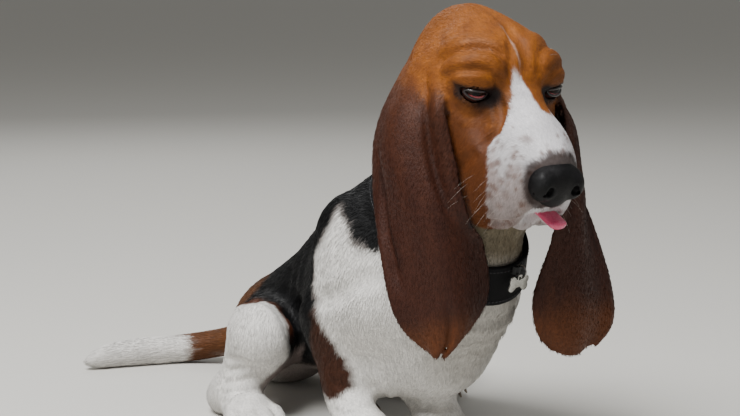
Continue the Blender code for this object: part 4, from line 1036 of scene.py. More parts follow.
def coat_tree():
    """Spreads tufts over the faces of one part of the skin and combs them along its lie."""
    tree = bpy.data.node_groups.new("tufts", "GeometryNodeTree")
    face = tree.interface
    face.new_socket("Geometry", in_out="INPUT", socket_type="NodeSocketGeometry")
    for name, kind in (("Part", "Int"), ("Density", "Float"), ("Width", "Float"), ("Lift", "Float"), ("Seed", "Int")):
        face.new_socket(name, in_out="INPUT", socket_type=f"NodeSocket{kind}")
    face.new_socket("Hair", in_out="INPUT", socket_type="NodeSocketMaterial")
    face.new_socket("Geometry", in_out="OUTPUT", socket_type="NodeSocketGeometry")
    given = add(tree, "NodeGroupInput").outputs

    def named(name, kind):
        return add(tree, "GeometryNodeInputNamedAttribute", {"Name": name}, data_type=kind).outputs["Attribute"]

    def store(geometry, name, value, kind, domain="POINT"):
        node = add(tree, "GeometryNodeStoreNamedAttribute", {"Geometry": geometry, "Name": name}, data_type=kind, domain=domain)
        tree.links.new(value, node.inputs["Value"])
        return node.outputs["Geometry"]

    def maths(operation, *values):
        node = add(tree, "ShaderNodeMath", operation=operation)
        for socket, value in zip(node.inputs, values):
            if isinstance(value, bpy.types.NodeSocket):
                tree.links.new(value, socket)
            else:
                socket.default_value = value
        return node.outputs["Value"]

    def chance(low, high, seed):
        node = add(tree, "FunctionNodeRandomValue", data_type="FLOAT")
        node.inputs[2].default_value, node.inputs[3].default_value = low, high
        tree.links.new(maths("ADD", given["Seed"], seed), node.inputs["Seed"])
        return node.outputs[1]

    blade = add(tree, "GeometryNodeMeshCone", {"Vertices": 3, "Side Segments": 2, "Radius Top": 0.0, "Radius Bottom": 0.5, "Depth": 1.0}, fill_type="NGON").outputs["Mesh"]
    spot = add(tree, "ShaderNodeSeparateXYZ", {"Vector": add(tree, "GeometryNodeInputPosition").outputs[0]}).outputs
    arch = maths("MULTIPLY", maths("MULTIPLY", spot["Z"], maths("SUBTRACT", 1.0, spot["Z"])), 0.34)
    taper = maths("ADD", 1.0, maths("MULTIPLY", spot["Z"], 0.9))
    bent = add(tree, "ShaderNodeCombineXYZ", {"X": maths("MULTIPLY", spot["X"], taper), "Y": maths("SUBTRACT", spot["Z"], 0.06), "Z": maths("SUBTRACT", maths("SUBTRACT", arch, 0.03), maths("MULTIPLY", spot["Y"], 0.07))})
    blade = store(blade, "along", spot["Z"], "FLOAT")
    blade = store(blade, "patch", add(tree, "ShaderNodeCombineXYZ", {"X": spot["X"], "Y": spot["Z"]}).outputs[0], "FLOAT_VECTOR")
    blade = add(tree, "GeometryNodeSetPosition", {"Geometry": blade, "Position": bent.outputs[0]}).outputs["Geometry"]

    chosen = add(tree, "FunctionNodeCompare", data_type="INT", operation="EQUAL")
    tree.links.new(named("part_of", "INT"), chosen.inputs[2])
    tree.links.new(given["Part"], chosen.inputs[3])
    spread = add(tree, "GeometryNodeDistributePointsOnFaces", {"Mesh": given["Geometry"], "Selection": chosen.outputs[0], "Density": given["Density"], "Seed": given["Seed"]})
    points = store(spread.outputs["Points"], "up", spread.outputs["Normal"], "FLOAT_VECTOR")
    points = store(points, "each", chance(0, 1, 1), "FLOAT")
    long_side = add(tree, "FunctionNodeAlignRotationToVector", {"Vector": named("lie", "FLOAT_VECTOR")}, axis="Y")
    flat_side = add(tree, "FunctionNodeAlignRotationToVector", {"Rotation": long_side.outputs[0], "Vector": spread.outputs["Normal"]}, axis="Z", pivot_axis="Y")
    lean = add(tree, "ShaderNodeCombineXYZ", {"X": maths("MULTIPLY", chance(0.4, 1.6, 2), given["Lift"]), "Y": chance(-0.5, 0.5, 3), "Z": chance(-0.26, 0.26, 4)})
    turned = add(tree, "FunctionNodeRotateRotation", {"Rotation": flat_side.outputs[0], "Rotate By": lean.outputs[0]}, rotation_space="LOCAL")
    length = maths("MULTIPLY", named("long", "FLOAT"), chance(0.65, 1.25, 5))
    wide = maths("MULTIPLY", given["Width"], chance(0.7, 1.3, 6))
    size = add(tree, "ShaderNodeCombineXYZ", {"X": wide, "Y": length, "Z": length})
    set_out = add(tree, "GeometryNodeInstanceOnPoints", {"Points": points, "Instance": blade, "Rotation": turned.outputs[0], "Scale": size.outputs[0]})
    made = add(tree, "GeometryNodeRealizeInstances", {"Geometry": set_out.outputs["Instances"]}).outputs["Geometry"]
    free = add(tree, "ShaderNodeVectorMath", {0: add(tree, "GeometryNodeInputPosition").outputs[0], 1: (-9, -9, FLOOR_GAP)}, operation="MAXIMUM")
    made = add(tree, "GeometryNodeSetPosition", {"Geometry": made, "Position": free.outputs["Vector"]}).outputs["Geometry"]
    patch = add(tree, "ShaderNodeVectorMath", {"Scale": PATCH}, operation="SCALE")
    tree.links.new(named("patch", "FLOAT_VECTOR"), patch.inputs["Vector"])
    place = add(tree, "ShaderNodeVectorMath", operation="ADD")
    tree.links.new(named("OFBake", "FLOAT_VECTOR"), place.inputs[0])
    tree.links.new(patch.outputs["Vector"], place.inputs[1])
    made = store(made, "OFBake", place.outputs["Vector"], "FLOAT2", "CORNER")
    made = add(tree, "GeometryNodeSetMaterial", {"Geometry": made, "Material": given["Hair"]}).outputs["Geometry"]
    tree.links.new(made, add(tree, "NodeGroupOutput").inputs["Geometry"])
    return tree


PATCH = 0.003
FLOOR_GAP = 0.0003
combing = coat_tree()


def soften(mesh):
    """Turns the blades' shading most of the way to the skin's own, as hair that lies close is lit."""
    count = len(mesh.vertices)
    up, own = np.empty(3 * count, np.float32), np.empty(3 * count, np.float32)
    mesh.attributes["up"].data.foreach_get("vector", up)
    mesh.vertex_normals.foreach_get("vector", own)
    mixed = 0.72 * up.reshape(-1, 3) + 0.28 * own.reshape(-1, 3)
    mixed /= np.linalg.norm(mixed, axis=1, keepdims=True) + 1e-6
    mesh.shade_smooth()
    mesh.normals_split_custom_set_from_vertices(mixed.tolist())
    for name in ("up", "lie", "long", "patch", "part_of"):
        if name in mesh.attributes:
            mesh.attributes.remove(mesh.attributes[name])


for number, (name, (_, tufts, wide)) in enumerate(PIECES.items()):
    area = float(sizes[part_of == number].sum())
    coat = bpy.data.objects.new(name, skin.data)
    bpy.context.scene.collection.objects.link(coat)
    combed = coat.modifiers.new("tufts", "NODES")
    combed.node_group = combing
    inputs = {item.name: item.identifier for item in combing.interface.items_tree if item.in_out == "INPUT"}
    for key, value in (("Part", number), ("Density", tufts / max(area, 1e-6)), ("Width", wide / 1000), ("Lift", 0.06), ("Seed", 20 + number), ("Hair", tuft_hair)):
        combed[inputs[key]] = value
    evaluated(coat)
    coat.data.name = name
    soften(coat.data)
    settle(coat, tuft_hair, "ear_coat" if "ear" in name else "coat")
    print(name, round(area, 4), len(coat.data.polygons), [a.name for a in coat.data.attributes][:12])


# The eyes: wet brown balls deep in the head. The ball is clear in front, where a thin film of tears
# lies over it; a red haw fills the sagging lower corner, and the lids end in dark, moist rims.
CORNEA_RISE = 0.0007
RIM_THICK = 0.0012
HAW_TALL = 0.0030
IRIS_EDGE = math.radians(34)
PUPIL_EDGE = math.radians(15)


def ramp(tree, factor, stops, mode="LINEAR"):
    """A run of colours; stops give each place and its colour."""
    node = add(tree, "ShaderNodeValToRGB", {"Fac": factor})
    node.color_ramp.interpolation = mode
    steps = node.color_ramp.elements
    steps[0].position, steps[-1].position = stops[0][0], stops[-1][0]
    for place, _ in stops[1:-1]:
        steps.new(place)
    for step, (_, tone) in zip(steps, stops):
        step.color = colour(tone)
    return node.outputs["Color"]


def wet_eye():
    """Cornea over iris: colours run in rings from the pole, under a clear film with an index of 1.376."""
    made, tree = new_material("wet_cornea_over_brown_iris")
    ring = add(tree, "ShaderNodeAttribute", attribute_name="from_pole")
    flecks = add(tree, "ShaderNodeTexNoise", {"Vector": add(tree, "ShaderNodeTexCoord").outputs["Object"], "Scale": 900.0})
    uneven = add(tree, "ShaderNodeMath", {0: flecks.outputs["Fac"], 1: 0.06, 2: ring.outputs["Fac"]}, operation="MULTIPLY_ADD")
    stops = ((0.0, "#020202"), (0.27, "#030202"), (0.33, "#1C0F08"), (0.52, "#2C180C"), (0.61, "#0C0705"), (0.68, "#33211C"), (1.0, "#4A2D28"))
    tone = ramp(tree, uneven.outputs["Value"], stops)
    shader = add(tree, "ShaderNodeBsdfPrincipled", {"Base Color": tone, "Roughness": 0.3, "IOR": 1.376, "Specular IOR Level": 0.1, "Coat Weight": 0.14, "Coat Roughness": 0.03})
    finish_material(tree, shader)
    return made


def moist(name, tone, other, scale, roughness, depth):
    """Bare wet skin in two tones, grained at a scale given in mm."""
    made, tree = new_material(name)
    place = add(tree, "ShaderNodeTexCoord").outputs["Object"]
    grain = add(tree, "ShaderNodeTexNoise", {"Vector": place, "Scale": 1000 / scale, "Detail": 3.0})
    shader = add(tree, "ShaderNodeBsdfPrincipled", {"Base Color": ramp(tree, grain.outputs["Fac"], ((0.3, tone), (0.7, other))), "Roughness": roughness, "IOR": 1.4, "Coat Weight": 0.6, "Coat Roughness": 0.12, "Subsurface Weight": 0.15, "Subsurface Scale": 0.004})
    bump = add(tree, "ShaderNodeBump", {"Height": grain.outputs["Fac"], "Strength": 0.4, "Distance": depth})
    tree.links.new(bump.outputs["Normal"], shader.inputs["Normal"])
    finish_material(tree, shader)
    return made


def on_ball(side, across, up, radius):
    """A point on a ball round the eye, by how far out and up it lies."""
    ahead = np.sqrt(np.clip(radius**2 - across**2 - up**2, 1e-9, None))
    return np.array(eye_centre(side)) + np.array(eye_turn(side)) @ np.array((across, up, ahead))


def grid_faces(rows, columns, around=False):
    """The four-sided faces of a grid of points, closed across its rows where it runs around."""
    wide = columns if around else columns - 1
    return [
        (r * columns + c, r * columns + (c + 1) % columns, (r + 1) * columns + (c + 1) % columns, (r + 1) * columns + c)
        for r in range(rows - 1)
        for c in range(wide)
    ]


def tube_piece(name, line, sizes, sides=8, closed=False):
    """A round rod along a line of points, its ends closed or joined; sizes are its radii."""
    line = np.array(line, float)
    count = len(line)
    ways = np.roll(line, -1, 0) - np.roll(line, 1, 0) if closed else np.gradient(line, axis=0)
    spoke = np.cross(ways[0], (0.3, 0.5, 0.8))
    points = []
    for place, way, size in zip(line, ways, np.broadcast_to(sizes, count)):
        way = way / np.linalg.norm(way)
        spoke = spoke - way * (spoke @ way)
        spoke /= np.linalg.norm(spoke)
        other = np.cross(way, spoke)
        points += [place + size * (math.cos(a) * spoke + math.sin(a) * other) for a in np.arange(sides) * math.tau / sides]
    faces = grid_faces(count, sides, around=True)
    if closed:
        twist = np.linalg.norm(np.array(points[:sides]) - points[-sides], axis=1).argmin()
        last = (count - 1) * sides
        faces += [(last + c, last + (c + 1) % sides, (c + 1 + twist) % sides, (c + twist) % sides) for c in range(sides)]
    else:
        faces += [tuple(range(sides))[::-1], tuple(range((count - 1) * sides, count * sides))]
    made = mesh_piece(name, points, faces)
    clean(made)
    return made


def clean(made):
    """Turns a closed piece's faces outwards."""
    mesh = bmesh.new()
    mesh.from_mesh(made.data)
    bmesh.ops.recalc_face_normals(mesh, faces=mesh.faces)
    mesh.to_mesh(made.data)
    made.data.shade_smooth()


cornea = wet_eye()
lid_rim = moist("pigmented_lid_margin", "#120C0B", "#241715", 0.8, 0.35, 0.0002)
haw_flesh = moist("moist_red_haw", "#7C2A30", "#A04247", 1.2, 0.25, 0.0002)
for side_of, word in SIDES:
    rings, spokes = 28, 40
    pole = Matrix(eye_turn(side_of))
    points, angles = [], []
    for angle in np.linspace(0.012, math.pi - 0.012, rings):
        radius = EYE_RADIUS + CORNEA_RISE * math.exp(-((angle / IRIS_EDGE) ** 4))
        for turn in np.arange(spokes) * math.tau / spokes:
            flat = (math.sin(angle) * math.cos(turn), math.sin(angle) * math.sin(turn), math.cos(angle))
            points.append(np.array(eye_centre(side_of)) + radius * np.array(pole) @ np.array(flat))
            angles.append(angle / math.radians(60))
    faces = grid_faces(rings, spokes, around=True)
    faces += [tuple(range(spokes))[::-1], tuple(range((rings - 1) * spokes, rings * spokes))]
    eye = mesh_piece(f"eyeball_{word}", points, faces)
    keep(eye.data, "from_pole", "FLOAT", np.array(angles))
    clean(eye)
    settle(eye, cornea, "eye", f"eye_{word}")
    wide, above, below = OPENING
    turns = np.arange(48) * math.tau / 48
    edge_line, edge_size = [], []
    for turn in turns:
        tall = above if math.sin(turn) > 0 else below * (1 - 0.18 * math.cos(turn))
        edge_line.append(on_ball(side_of, wide * math.cos(turn), tall * math.sin(turn), LID_RADIUS - 0.0014))
        edge_size.append(RIM_THICK * (1 if math.sin(turn) > 0 else 1.15))
    rim = tube_piece(f"lid_rim_{word}", edge_line, edge_size, closed=True)
    settle(rim, lid_rim, "nose_leather")
    points = []
    for across in np.linspace(-0.96, 0.80, 15):
        low = -below * (1 - 0.18 * across) * math.sqrt(1 - across**2) - 0.0004
        tall = HAW_TALL * (1 - across * 0.35) * math.sqrt(max(0.04, 1 - (across / 1.0) ** 2))
        for share in np.linspace(0, 1, 5):
            lift = 0.0009 * math.sin(math.pi * min(1, share + 0.15))
            points.append(on_ball(side_of, wide * across, low + tall * share, EYE_RADIUS + 0.0002 + lift))
    haw = mesh_piece(f"haw_{word}", points, grid_faces(15, 5))
    shell = haw.modifiers.new("wall", "SOLIDIFY")
    shell.thickness = 0.0005
    shell.offset = 1.0
    evaluated(haw)
    clean(haw)
    settle(haw, haw_flesh, "tongue")


# The nose: bare leather over gristle, black and moist, pebbled in cells of about a millimetre, with
# two deep nostrils that end in a slit at the side and a groove down the middle to the lip.
def head_block(middle, reach, step):
    """A small block round a place in the head, for a piece that is finer than the skin."""
    middle = np.array(in_head(*middle))
    return Flesh(middle - reach, middle + reach, step)


def pebble(made, size, depth):
    """Raises small rounded cells over a mesh, each about the size across."""
    points, mesh = places(made.data), made.data
    tree = kdtree.KDTree(len(points))
    for i, point in enumerate(points):
        tree.insert(point, i)
    tree.balance()
    taken, seats_ = np.zeros(len(points), bool), []
    for i in np.random.default_rng(17).permutation(len(points)):
        if not taken[i]:
            seats_.append(i)
            taken[[near for _, near, _ in tree.find_range(points[i], 0.8 * size)]] = True
    tree = kdtree.KDTree(len(seats_))
    for i in seats_:
        tree.insert(points[i], i)
    tree.balance()
    normals = np.array([vert.normal for vert in mesh.vertices])
    for i, normal in enumerate(normals):
        (_, _, near), (_, _, far) = tree.find_n(points[i], 2)
        points[i] += normal * depth * (min(1, (far - near) / (0.5 * size)) - 1)
    mesh.vertices.foreach_set("co", (points + SHIFT).astype(np.float32).ravel())
    mesh.update()


leather = head_block((0, 0.09, -0.048), 0.036, 0.0005)
leather.melt(head_ball(0, 0.091, -0.046, (0.0250, 0.0175, 0.0190)), 0.004)
leather.melt(head_ball(0, 0.094, -0.058, (0.014, 0.011, 0.013)), 0.006)
for side_of in (-1, 1):
    leather.melt(head_ball(side_of * 0.0160, 0.096, -0.048, (0.0115, 0.0125, 0.0145)), 0.004)
    leather.carve(head_ball(side_of * 0.0138, 0.111, -0.049, (0.0044, 0.0098, 0.0056)), 0.0022)
    slit = head_limb((side_of * 0.0155, 0.109, -0.051, 0.0020), (side_of * 0.0250, 0.099, -0.053, 0.0010))
    leather.carve(slit, 0.0014)
leather.carve(head_limb((0, 0.114, -0.045, 0.0011), (0, 0.111, -0.060, 0.0013), (0, 0.107, -0.073, 0.0013)), 0.0016)
nose = mesh_piece("nose_leather", *leather.skin())
pebble(nose, 0.0013, 0.00016)
nose_finish, tree = new_material("moist_black_nose_leather")
place = add(tree, "ShaderNodeTexCoord").outputs["Object"]
cells = add(tree, "ShaderNodeTexVoronoi", {"Vector": place, "Scale": 1000 / 1.3, "Randomness": 0.9}, feature="DISTANCE_TO_EDGE")
raised = add(tree, "ShaderNodeMapRange", {"Value": cells.outputs["Distance"], "From Max": 0.22})
tint = add(tree, "ShaderNodeTexNoise", {"Vector": place, "Scale": 60.0, "Detail": 2.0})
shader = add(tree, "ShaderNodeBsdfPrincipled", {"Base Color": ramp(tree, tint.outputs["Fac"], ((0.35, "#030304"), (0.75, "#0C0A0C"))), "Roughness": 0.40, "IOR": 1.4, "Specular IOR Level": 0.25, "Coat Weight": 0.04, "Coat Roughness": 0.15})
bump = add(tree, "ShaderNodeBump", {"Height": raised.outputs["Result"], "Strength": 0.55, "Distance": 0.0004})
tree.links.new(bump.outputs["Normal"], shader.inputs["Normal"])
finish_material(tree, shader)
settle(nose, nose_finish, "nose_leather", "nose")


# The tongue: its tip lies out between the lips on the left of the nose. Soft wet muscle, rough with
# fine papillae on top.
muscle = head_block((0.005, 0.08, -0.088), 0.034, 0.0009)
muscle.melt(
    head_limb(
        (0.008, 0.056, -0.086, 0.0045, 2.0), (0.0130, 0.080, -0.0885, 0.0052, 1.9), (0.0150, 0.0950, -0.0905, 0.0052, 1.8)
    ),
    0.003,
)
muscle.carve(head_limb((0.011, 0.070, -0.0815, 0.0014), (0.0155, 0.096, -0.0840, 0.0012), (0.0165, 0.103, -0.0890, 0.0008)), 0.0015)
lick = mesh_piece("tongue_tip", *muscle.skin())
settle(lick, moist("wet_tongue_muscle", "#C23A63", "#D95C80", 1.1, 0.34, 0.0005), "tongue", "tongue")


# The claws: horn, grown in a curve over a quick, dark at the root and worn pale and blunt at the tip.
CLAW_RADIUS = 0.0031
CLAW_LENGTH = 0.014
horn, tree = new_material("worn_claw_horn")
along = add(tree, "ShaderNodeAttribute", attribute_name="along")
streaks = add(tree, "ShaderNodeTexNoise", {"Vector": add(tree, "ShaderNodeTexCoord").outputs["Object"], "Scale": 500.0, "Detail": 3.0})
mix = add(tree, "ShaderNodeMath", {0: streaks.outputs["Fac"], 1: 0.3, 2: along.outputs["Fac"]}, operation="MULTIPLY_ADD")
tone = ramp(tree, mix.outputs["Value"], ((0.1, "#2B211C"), (0.6, "#54453A"), (1.0, "#8F7F6C")))
shader = add(tree, "ShaderNodeBsdfPrincipled", {"Base Color": tone, "Roughness": 0.32, "IOR": 1.54})
bump = add(tree, "ShaderNodeBump", {"Height": streaks.outputs["Fac"], "Strength": 0.25, "Distance": 0.0003})
tree.links.new(bump.outputs["Normal"], shader.inputs["Normal"])
finish_material(tree, shader)


def claw_piece(name, node_name, start, middle, end):
    """A curved, slightly flattened horn from its root to its tip."""
    line = smooth_line((start, middle, end), 6)
    share = np.linspace(0, 1, len(line))
    made = tube_piece(name, line, CLAW_RADIUS * (1 - 0.72 * share**1.6), sides=12)
    keep(made.data, "along", "FLOAT", np.repeat(share, 12))
    settle(made, horn, "claw_horn", node_name)


for foot, (side_of, centre, heading, size) in FEET.items():
    for i, (root, knuckle, tip) in enumerate(toes(side_of, centre, heading, size)):
        flat = Vector((tip.x - knuckle.x, tip.y - knuckle.y, 0)).normalized()
        start = tip + flat * 0.003 + Vector((0, 0, 0.003))
        end = start + flat * CLAW_LENGTH - Vector((0, 0, 0.0075))
        name = f"claw_{foot}_{i + 1}"
        claw_piece(name.replace("claw", "horn"), name, start, start.lerp(end, 0.62) + Vector((0, 0, 0.003)), end)
for foot, (px, py, pz) in WRISTS.items():
    inner = 1 if px < 0 else -1
    start = Vector((px + inner * 0.020, py - 0.012, pz - 0.006))
    middle = start + Vector((inner * 0.005, -0.004, -0.007))
    claw_piece(f"dewhorn_{foot}", f"dewclaw_{foot}", start, middle, start + Vector((inner * 0.005, -0.006, -0.014)))


# The collar: a flat band of black nylon webbing, 34 mm wide, folded double and stitched along both
# edges. It lies round the neck at the slant that a hound's collar takes, its own width off the skin.
COLLAR_CENTRE = np.array((0, -0.067, 0.249))
COLLAR_UP = np.array((0, -0.644, 0.767)) / math.hypot(0.644, 0.767)
COLLAR_HEIGHT = 0.034
COLLAR_THICKNESS = 0.0035
COLLAR_SLACK = 0.0012
TURNS = 144
STITCH = 0.0042
EDGE_IN = 0.0028

out_way = np.cross(COLLAR_UP, (1, 0, 0))
turns = np.arange(TURNS) * math.tau / TURNS
rays = np.cos(turns)[:, None] * np.array((1, 0, 0)) - np.sin(turns)[:, None] * out_way
reach = np.arange(0.03, 0.13, 0.0005)
heights = np.linspace(-0.5, 0.5, 5) * COLLAR_HEIGHT
rows = COLLAR_CENTRE + heights[:, None] * COLLAR_UP
off = unhung.at(rows[None, :, None] + reach[None, None, :, None] * rays[:, None, None])
radii = reach[np.argmax(off > COLLAR_SLACK, axis=2)]
slope = np.polyfit(heights, radii.T, 1)
cone = slope[0][:, None] * heights + slope[1][:, None]
radii = cone + np.clip(radii - cone, 0, 1).max(1)[:, None]
for _ in range(8):
    radii = np.maximum(radii, (np.roll(radii, 1, 0) + np.roll(radii, -1, 0)) / 2)
inner_low, inner_high = radii[:, 0], radii[:, -1]


def on_band(turn, up, out):
    """A point on the band: its place round the neck, its share of the height and its distance off the
    inner face."""
    at = turn / math.tau * TURNS
    low = int(math.floor(at)) % TURNS
    part = at - math.floor(at)
    inner = (inner_low * (0.5 - up) + inner_high * (0.5 + up))
    radius = inner[low] * (1 - part) + inner[(low + 1) % TURNS] * part
    ray = math.cos(turn) * np.array((1, 0, 0)) - math.sin(turn) * out_way
    return COLLAR_CENTRE + COLLAR_UP * up * COLLAR_HEIGHT + ray * (radius + out)


section = [(-0.5, 0.0004), (-0.49, 0), (0.49, 0), (0.5, 0.0004), (0.5, COLLAR_THICKNESS - 0.0006), (0.485, COLLAR_THICKNESS - 0.0001)]
section += [(0.42, COLLAR_THICKNESS), (0.36, COLLAR_THICKNESS - 0.0003), (-0.36, COLLAR_THICKNESS - 0.0003), (-0.42, COLLAR_THICKNESS), (-0.485, COLLAR_THICKNESS - 0.0001), (-0.5, COLLAR_THICKNESS - 0.0006)]
points = [on_band(turn, up, out) for turn in turns for up, out in section]
faces = grid_faces(TURNS, len(section), around=True)
last = (TURNS - 1) * len(section)
faces += [(last + c, last + (c + 1) % len(section), (c + 1) % len(section), c) for c in range(len(section))]
band = mesh_piece("webbing_band", points, faces)
clean(band)
weave = band.data.uv_layers.new(name="weave")
for loop in band.data.loops:
    turn, part = divmod(loop.vertex_index, len(section))
    weave.data[loop.index].uv = (turn / TURNS, section[part][0] + 0.5)
for polygon in band.data.polygons:
    loops = list(polygon.loop_indices)
    if max(weave.data[i].uv[0] for i in loops) - min(weave.data[i].uv[0] for i in loops) > 0.5:
        for i in loops:
            if weave.data[i].uv[0] < 0.5:
                weave.data[i].uv[0] += 1
webbing, tree = new_material("black_nylon_webbing")
place = add(tree, "ShaderNodeUVMap", uv_map="weave")
scaled = add(tree, "ShaderNodeMapping", {"Vector": place.outputs["UV"], "Scale": (300.0, 22.0, 1.0)})
threads = add(tree, "ShaderNodeTexBrick", {"Vector": scaled.outputs["Vector"], "Color1": (1, 1, 1, 1), "Color2": (0.75, 0.75, 0.75, 1), "Mortar": (0, 0, 0, 1), "Scale": 1.0, "Mortar Size": 0.12, "Mortar Smooth": 1.0, "Brick Width": 1.0, "Row Height": 0.5})
tone = ramp(tree, threads.outputs["Color"], ((0.0, "#020203"), (1.0, "#0B0B0D")))
shader = add(tree, "ShaderNodeBsdfPrincipled", {"Base Color": tone, "Roughness": 0.62, "IOR": 1.53, "Specular IOR Level": 0.15})
bump = add(tree, "ShaderNodeBump", {"Height": threads.outputs["Color"], "Strength": 0.7, "Distance": 0.0005})
tree.links.new(bump.outputs["Normal"], shader.inputs["Normal"])
finish_material(tree, shader)
settle(band, webbing, "webbing", "collar")

thread, tree = new_material("bonded_nylon_thread")
finish_material(tree, add(tree, "ShaderNodeBsdfPrincipled", {"Base Color": colour("#2A2A2E"), "Roughness": 0.5, "IOR": 1.53}))


def along_tree():
    """Sets short round-ended rods at even steps along a line, each lying along it, as stitches do."""
    tree = bpy.data.node_groups.new("stitches", "GeometryNodeTree")
    face = tree.interface
    face.new_socket("Geometry", in_out="INPUT", socket_type="NodeSocketGeometry")
    for name in ("Step", "Length", "Radius"):
        face.new_socket(name, in_out="INPUT", socket_type="NodeSocketFloat")
    face.new_socket("Thread", in_out="INPUT", socket_type="NodeSocketMaterial")
    face.new_socket("Geometry", in_out="OUTPUT", socket_type="NodeSocketGeometry")
    given = add(tree, "NodeGroupInput").outputs
    line = add(tree, "GeometryNodeMeshToCurve", {"Mesh": given["Geometry"]}).outputs["Curve"]
    dots = add(tree, "GeometryNodeCurveToPoints", {"Curve": line, "Length": given["Step"]}, mode="LENGTH")
    rod = add(tree, "GeometryNodeMeshUVSphere", {"Segments": 6, "Rings": 4, "Radius": 1.0}).outputs["Mesh"]
    size = add(tree, "ShaderNodeCombineXYZ", {"X": given["Radius"], "Y": given["Radius"], "Z": given["Length"]})
    made = add(tree, "GeometryNodeInstanceOnPoints", {"Points": dots.outputs["Points"], "Instance": rod, "Rotation": dots.outputs["Rotation"], "Scale": size.outputs[0]}).outputs["Instances"]
    made = add(tree, "GeometryNodeRealizeInstances", {"Geometry": made}).outputs["Geometry"]
    made = add(tree, "GeometryNodeSetMaterial", {"Geometry": made, "Material": given["Thread"]}).outputs["Geometry"]
    tree.links.new(made, add(tree, "NodeGroupOutput").inputs["Geometry"])
    return tree


rows = []
for up in (-0.40, 0.40):
    rows.append([on_band(turn, up, COLLAR_THICKNESS + 0.0001) for turn in np.arange(2 * TURNS) * math.tau / 2 / TURNS])
mesh = bpy.data.meshes.new("stitch_rows")
points = np.array(rows).reshape(-1, 3) + SHIFT
edges = [(r * 2 * TURNS + i, r * 2 * TURNS + (i + 1) % (2 * TURNS)) for r in range(2) for i in range(2 * TURNS)]
mesh.from_pydata(points.tolist(), edges, [])
stitches = bpy.data.objects.new("collar_stitches", mesh)
bpy.context.scene.collection.objects.link(stitches)
sewn = stitches.modifiers.new("stitches", "NODES")
sewn.node_group = along_tree()
inputs = {item.name: item.identifier for item in sewn.node_group.interface.items_tree if item.in_out == "INPUT"}
for key, value in (("Step", STITCH), ("Length", 0.0016), ("Radius", 0.00045), ("Thread", thread)):
    sewn[inputs[key]] = value
evaluated(stitches)
stitches.data.name = "collar_stitches"
stitches.data.shade_smooth()
settle(stitches, thread, "webbing")


# The tag and its fittings: a sewn loop of the same webbing on the front of the collar, a split ring of
# steel wire through it, and a plain bone-shaped tag of brushed steel with nothing written on it.
TAG_SIDE = 0.020
TAG_HEIGHT = 0.198
RING_RADIUS = 0.0065
RING_WIRE = 0.0008
TAG_THICKNESS = 0.0016
TAG_HALF_LENGTH = 0.009
TAG_BAR = 0.007
TAG_KNOB = 0.0045
TAG_LUG = 0.0028
TAG_HOLE = 0.0016
KEEPER = (0.010, 0.0040, 0.007)
FIT = 0.00045

turn_count = 2400
front = [(abs(on_band(t, 0, COLLAR_THICKNESS)[0] - TAG_SIDE), on_band(t, 0, COLLAR_THICKNESS)[1], t) for t in np.linspace(0, math.tau, turn_count, endpoint=False)]
near = min((t for miss, ahead_, t in front if miss < 0.0006), key=lambda t: on_band(t, 0, COLLAR_THICKNESS)[1])
spots = {up: on_band(near, up, COLLAR_THICKNESS) for up in (-0.5, 0.5)}
share = (TAG_HEIGHT - spots[-0.5][2]) / (spots[0.5][2] - spots[-0.5][2]) - 0.5
point = Vector(on_band(near, share, COLLAR_THICKNESS))
beside = Vector(on_band(near + 0.02, share, COLLAR_THICKNESS)) - Vector(on_band(near - 0.02, share, COLLAR_THICKNESS))
normal = beside.cross(Vector(spots[0.5] - spots[-0.5])).normalized()
normal = normal if normal.y < 0 else -normal
across = Vector((0, 0, 1)).cross(-normal).normalized()
BAND = Matrix.Translation(point) @ Matrix((-across, -normal, across.cross(normal))).transposed().to_4x4()
HANGING = BAND @ Matrix.Translation((0, -RING_RADIUS - RING_WIRE - FIT, 0))
PLATE = HANGING @ Matrix.Translation((0, 0, -RING_RADIUS - TAG_BAR / 2 - 0.6 * TAG_LUG))


def metal(name, tone, other, roughness, scratch, depth):
    """Steel: a metal's own reflection, with fine scratches that spread the light."""
    made, tree = new_material(name)
    place = add(tree, "ShaderNodeTexCoord").outputs["Object"]
    drawn = add(tree, "ShaderNodeMapping", {"Vector": place, "Scale": scratch})
    grain = add(tree, "ShaderNodeTexNoise", {"Vector": drawn.outputs["Vector"], "Scale": 1.0, "Detail": 4.0})
    worn = add(tree, "ShaderNodeMapRange", {"Value": grain.outputs["Fac"], "To Min": roughness - 0.08, "To Max": roughness + 0.12})
    shader = add(tree, "ShaderNodeBsdfPrincipled", {"Base Color": ramp(tree, grain.outputs["Fac"], ((0.35, tone), (0.65, other))), "Roughness": worn.outputs["Result"], "Metallic": 1.0})
    bump = add(tree, "ShaderNodeBump", {"Height": grain.outputs["Fac"], "Strength": 0.3, "Distance": depth})
    tree.links.new(bump.outputs["Normal"], shader.inputs["Normal"])
    finish_material(tree, shader)
    return made


brushed = metal("brushed_steel_plate", "#A9A8A2", "#C9C8C2", 0.36, (250.0, 250.0, 3000.0), 0.00006)
wire = metal("polished_steel_wire", "#9C9B98", "#B9B8B5", 0.22, (900.0, 900.0, 900.0), 0.00004)

coils = []
for turn in np.linspace(0, 2 * math.tau, 97):
    drift = (turn / math.tau - 1) * RING_WIRE * 0.98
    coils.append(HANGING @ Vector((drift, RING_RADIUS * math.cos(turn), RING_RADIUS * math.sin(turn))))
ring = tube_piece("split_ring", coils, RING_WIRE * 0.55, sides=10)
settle(ring, wire, "steel", "tag_ring")

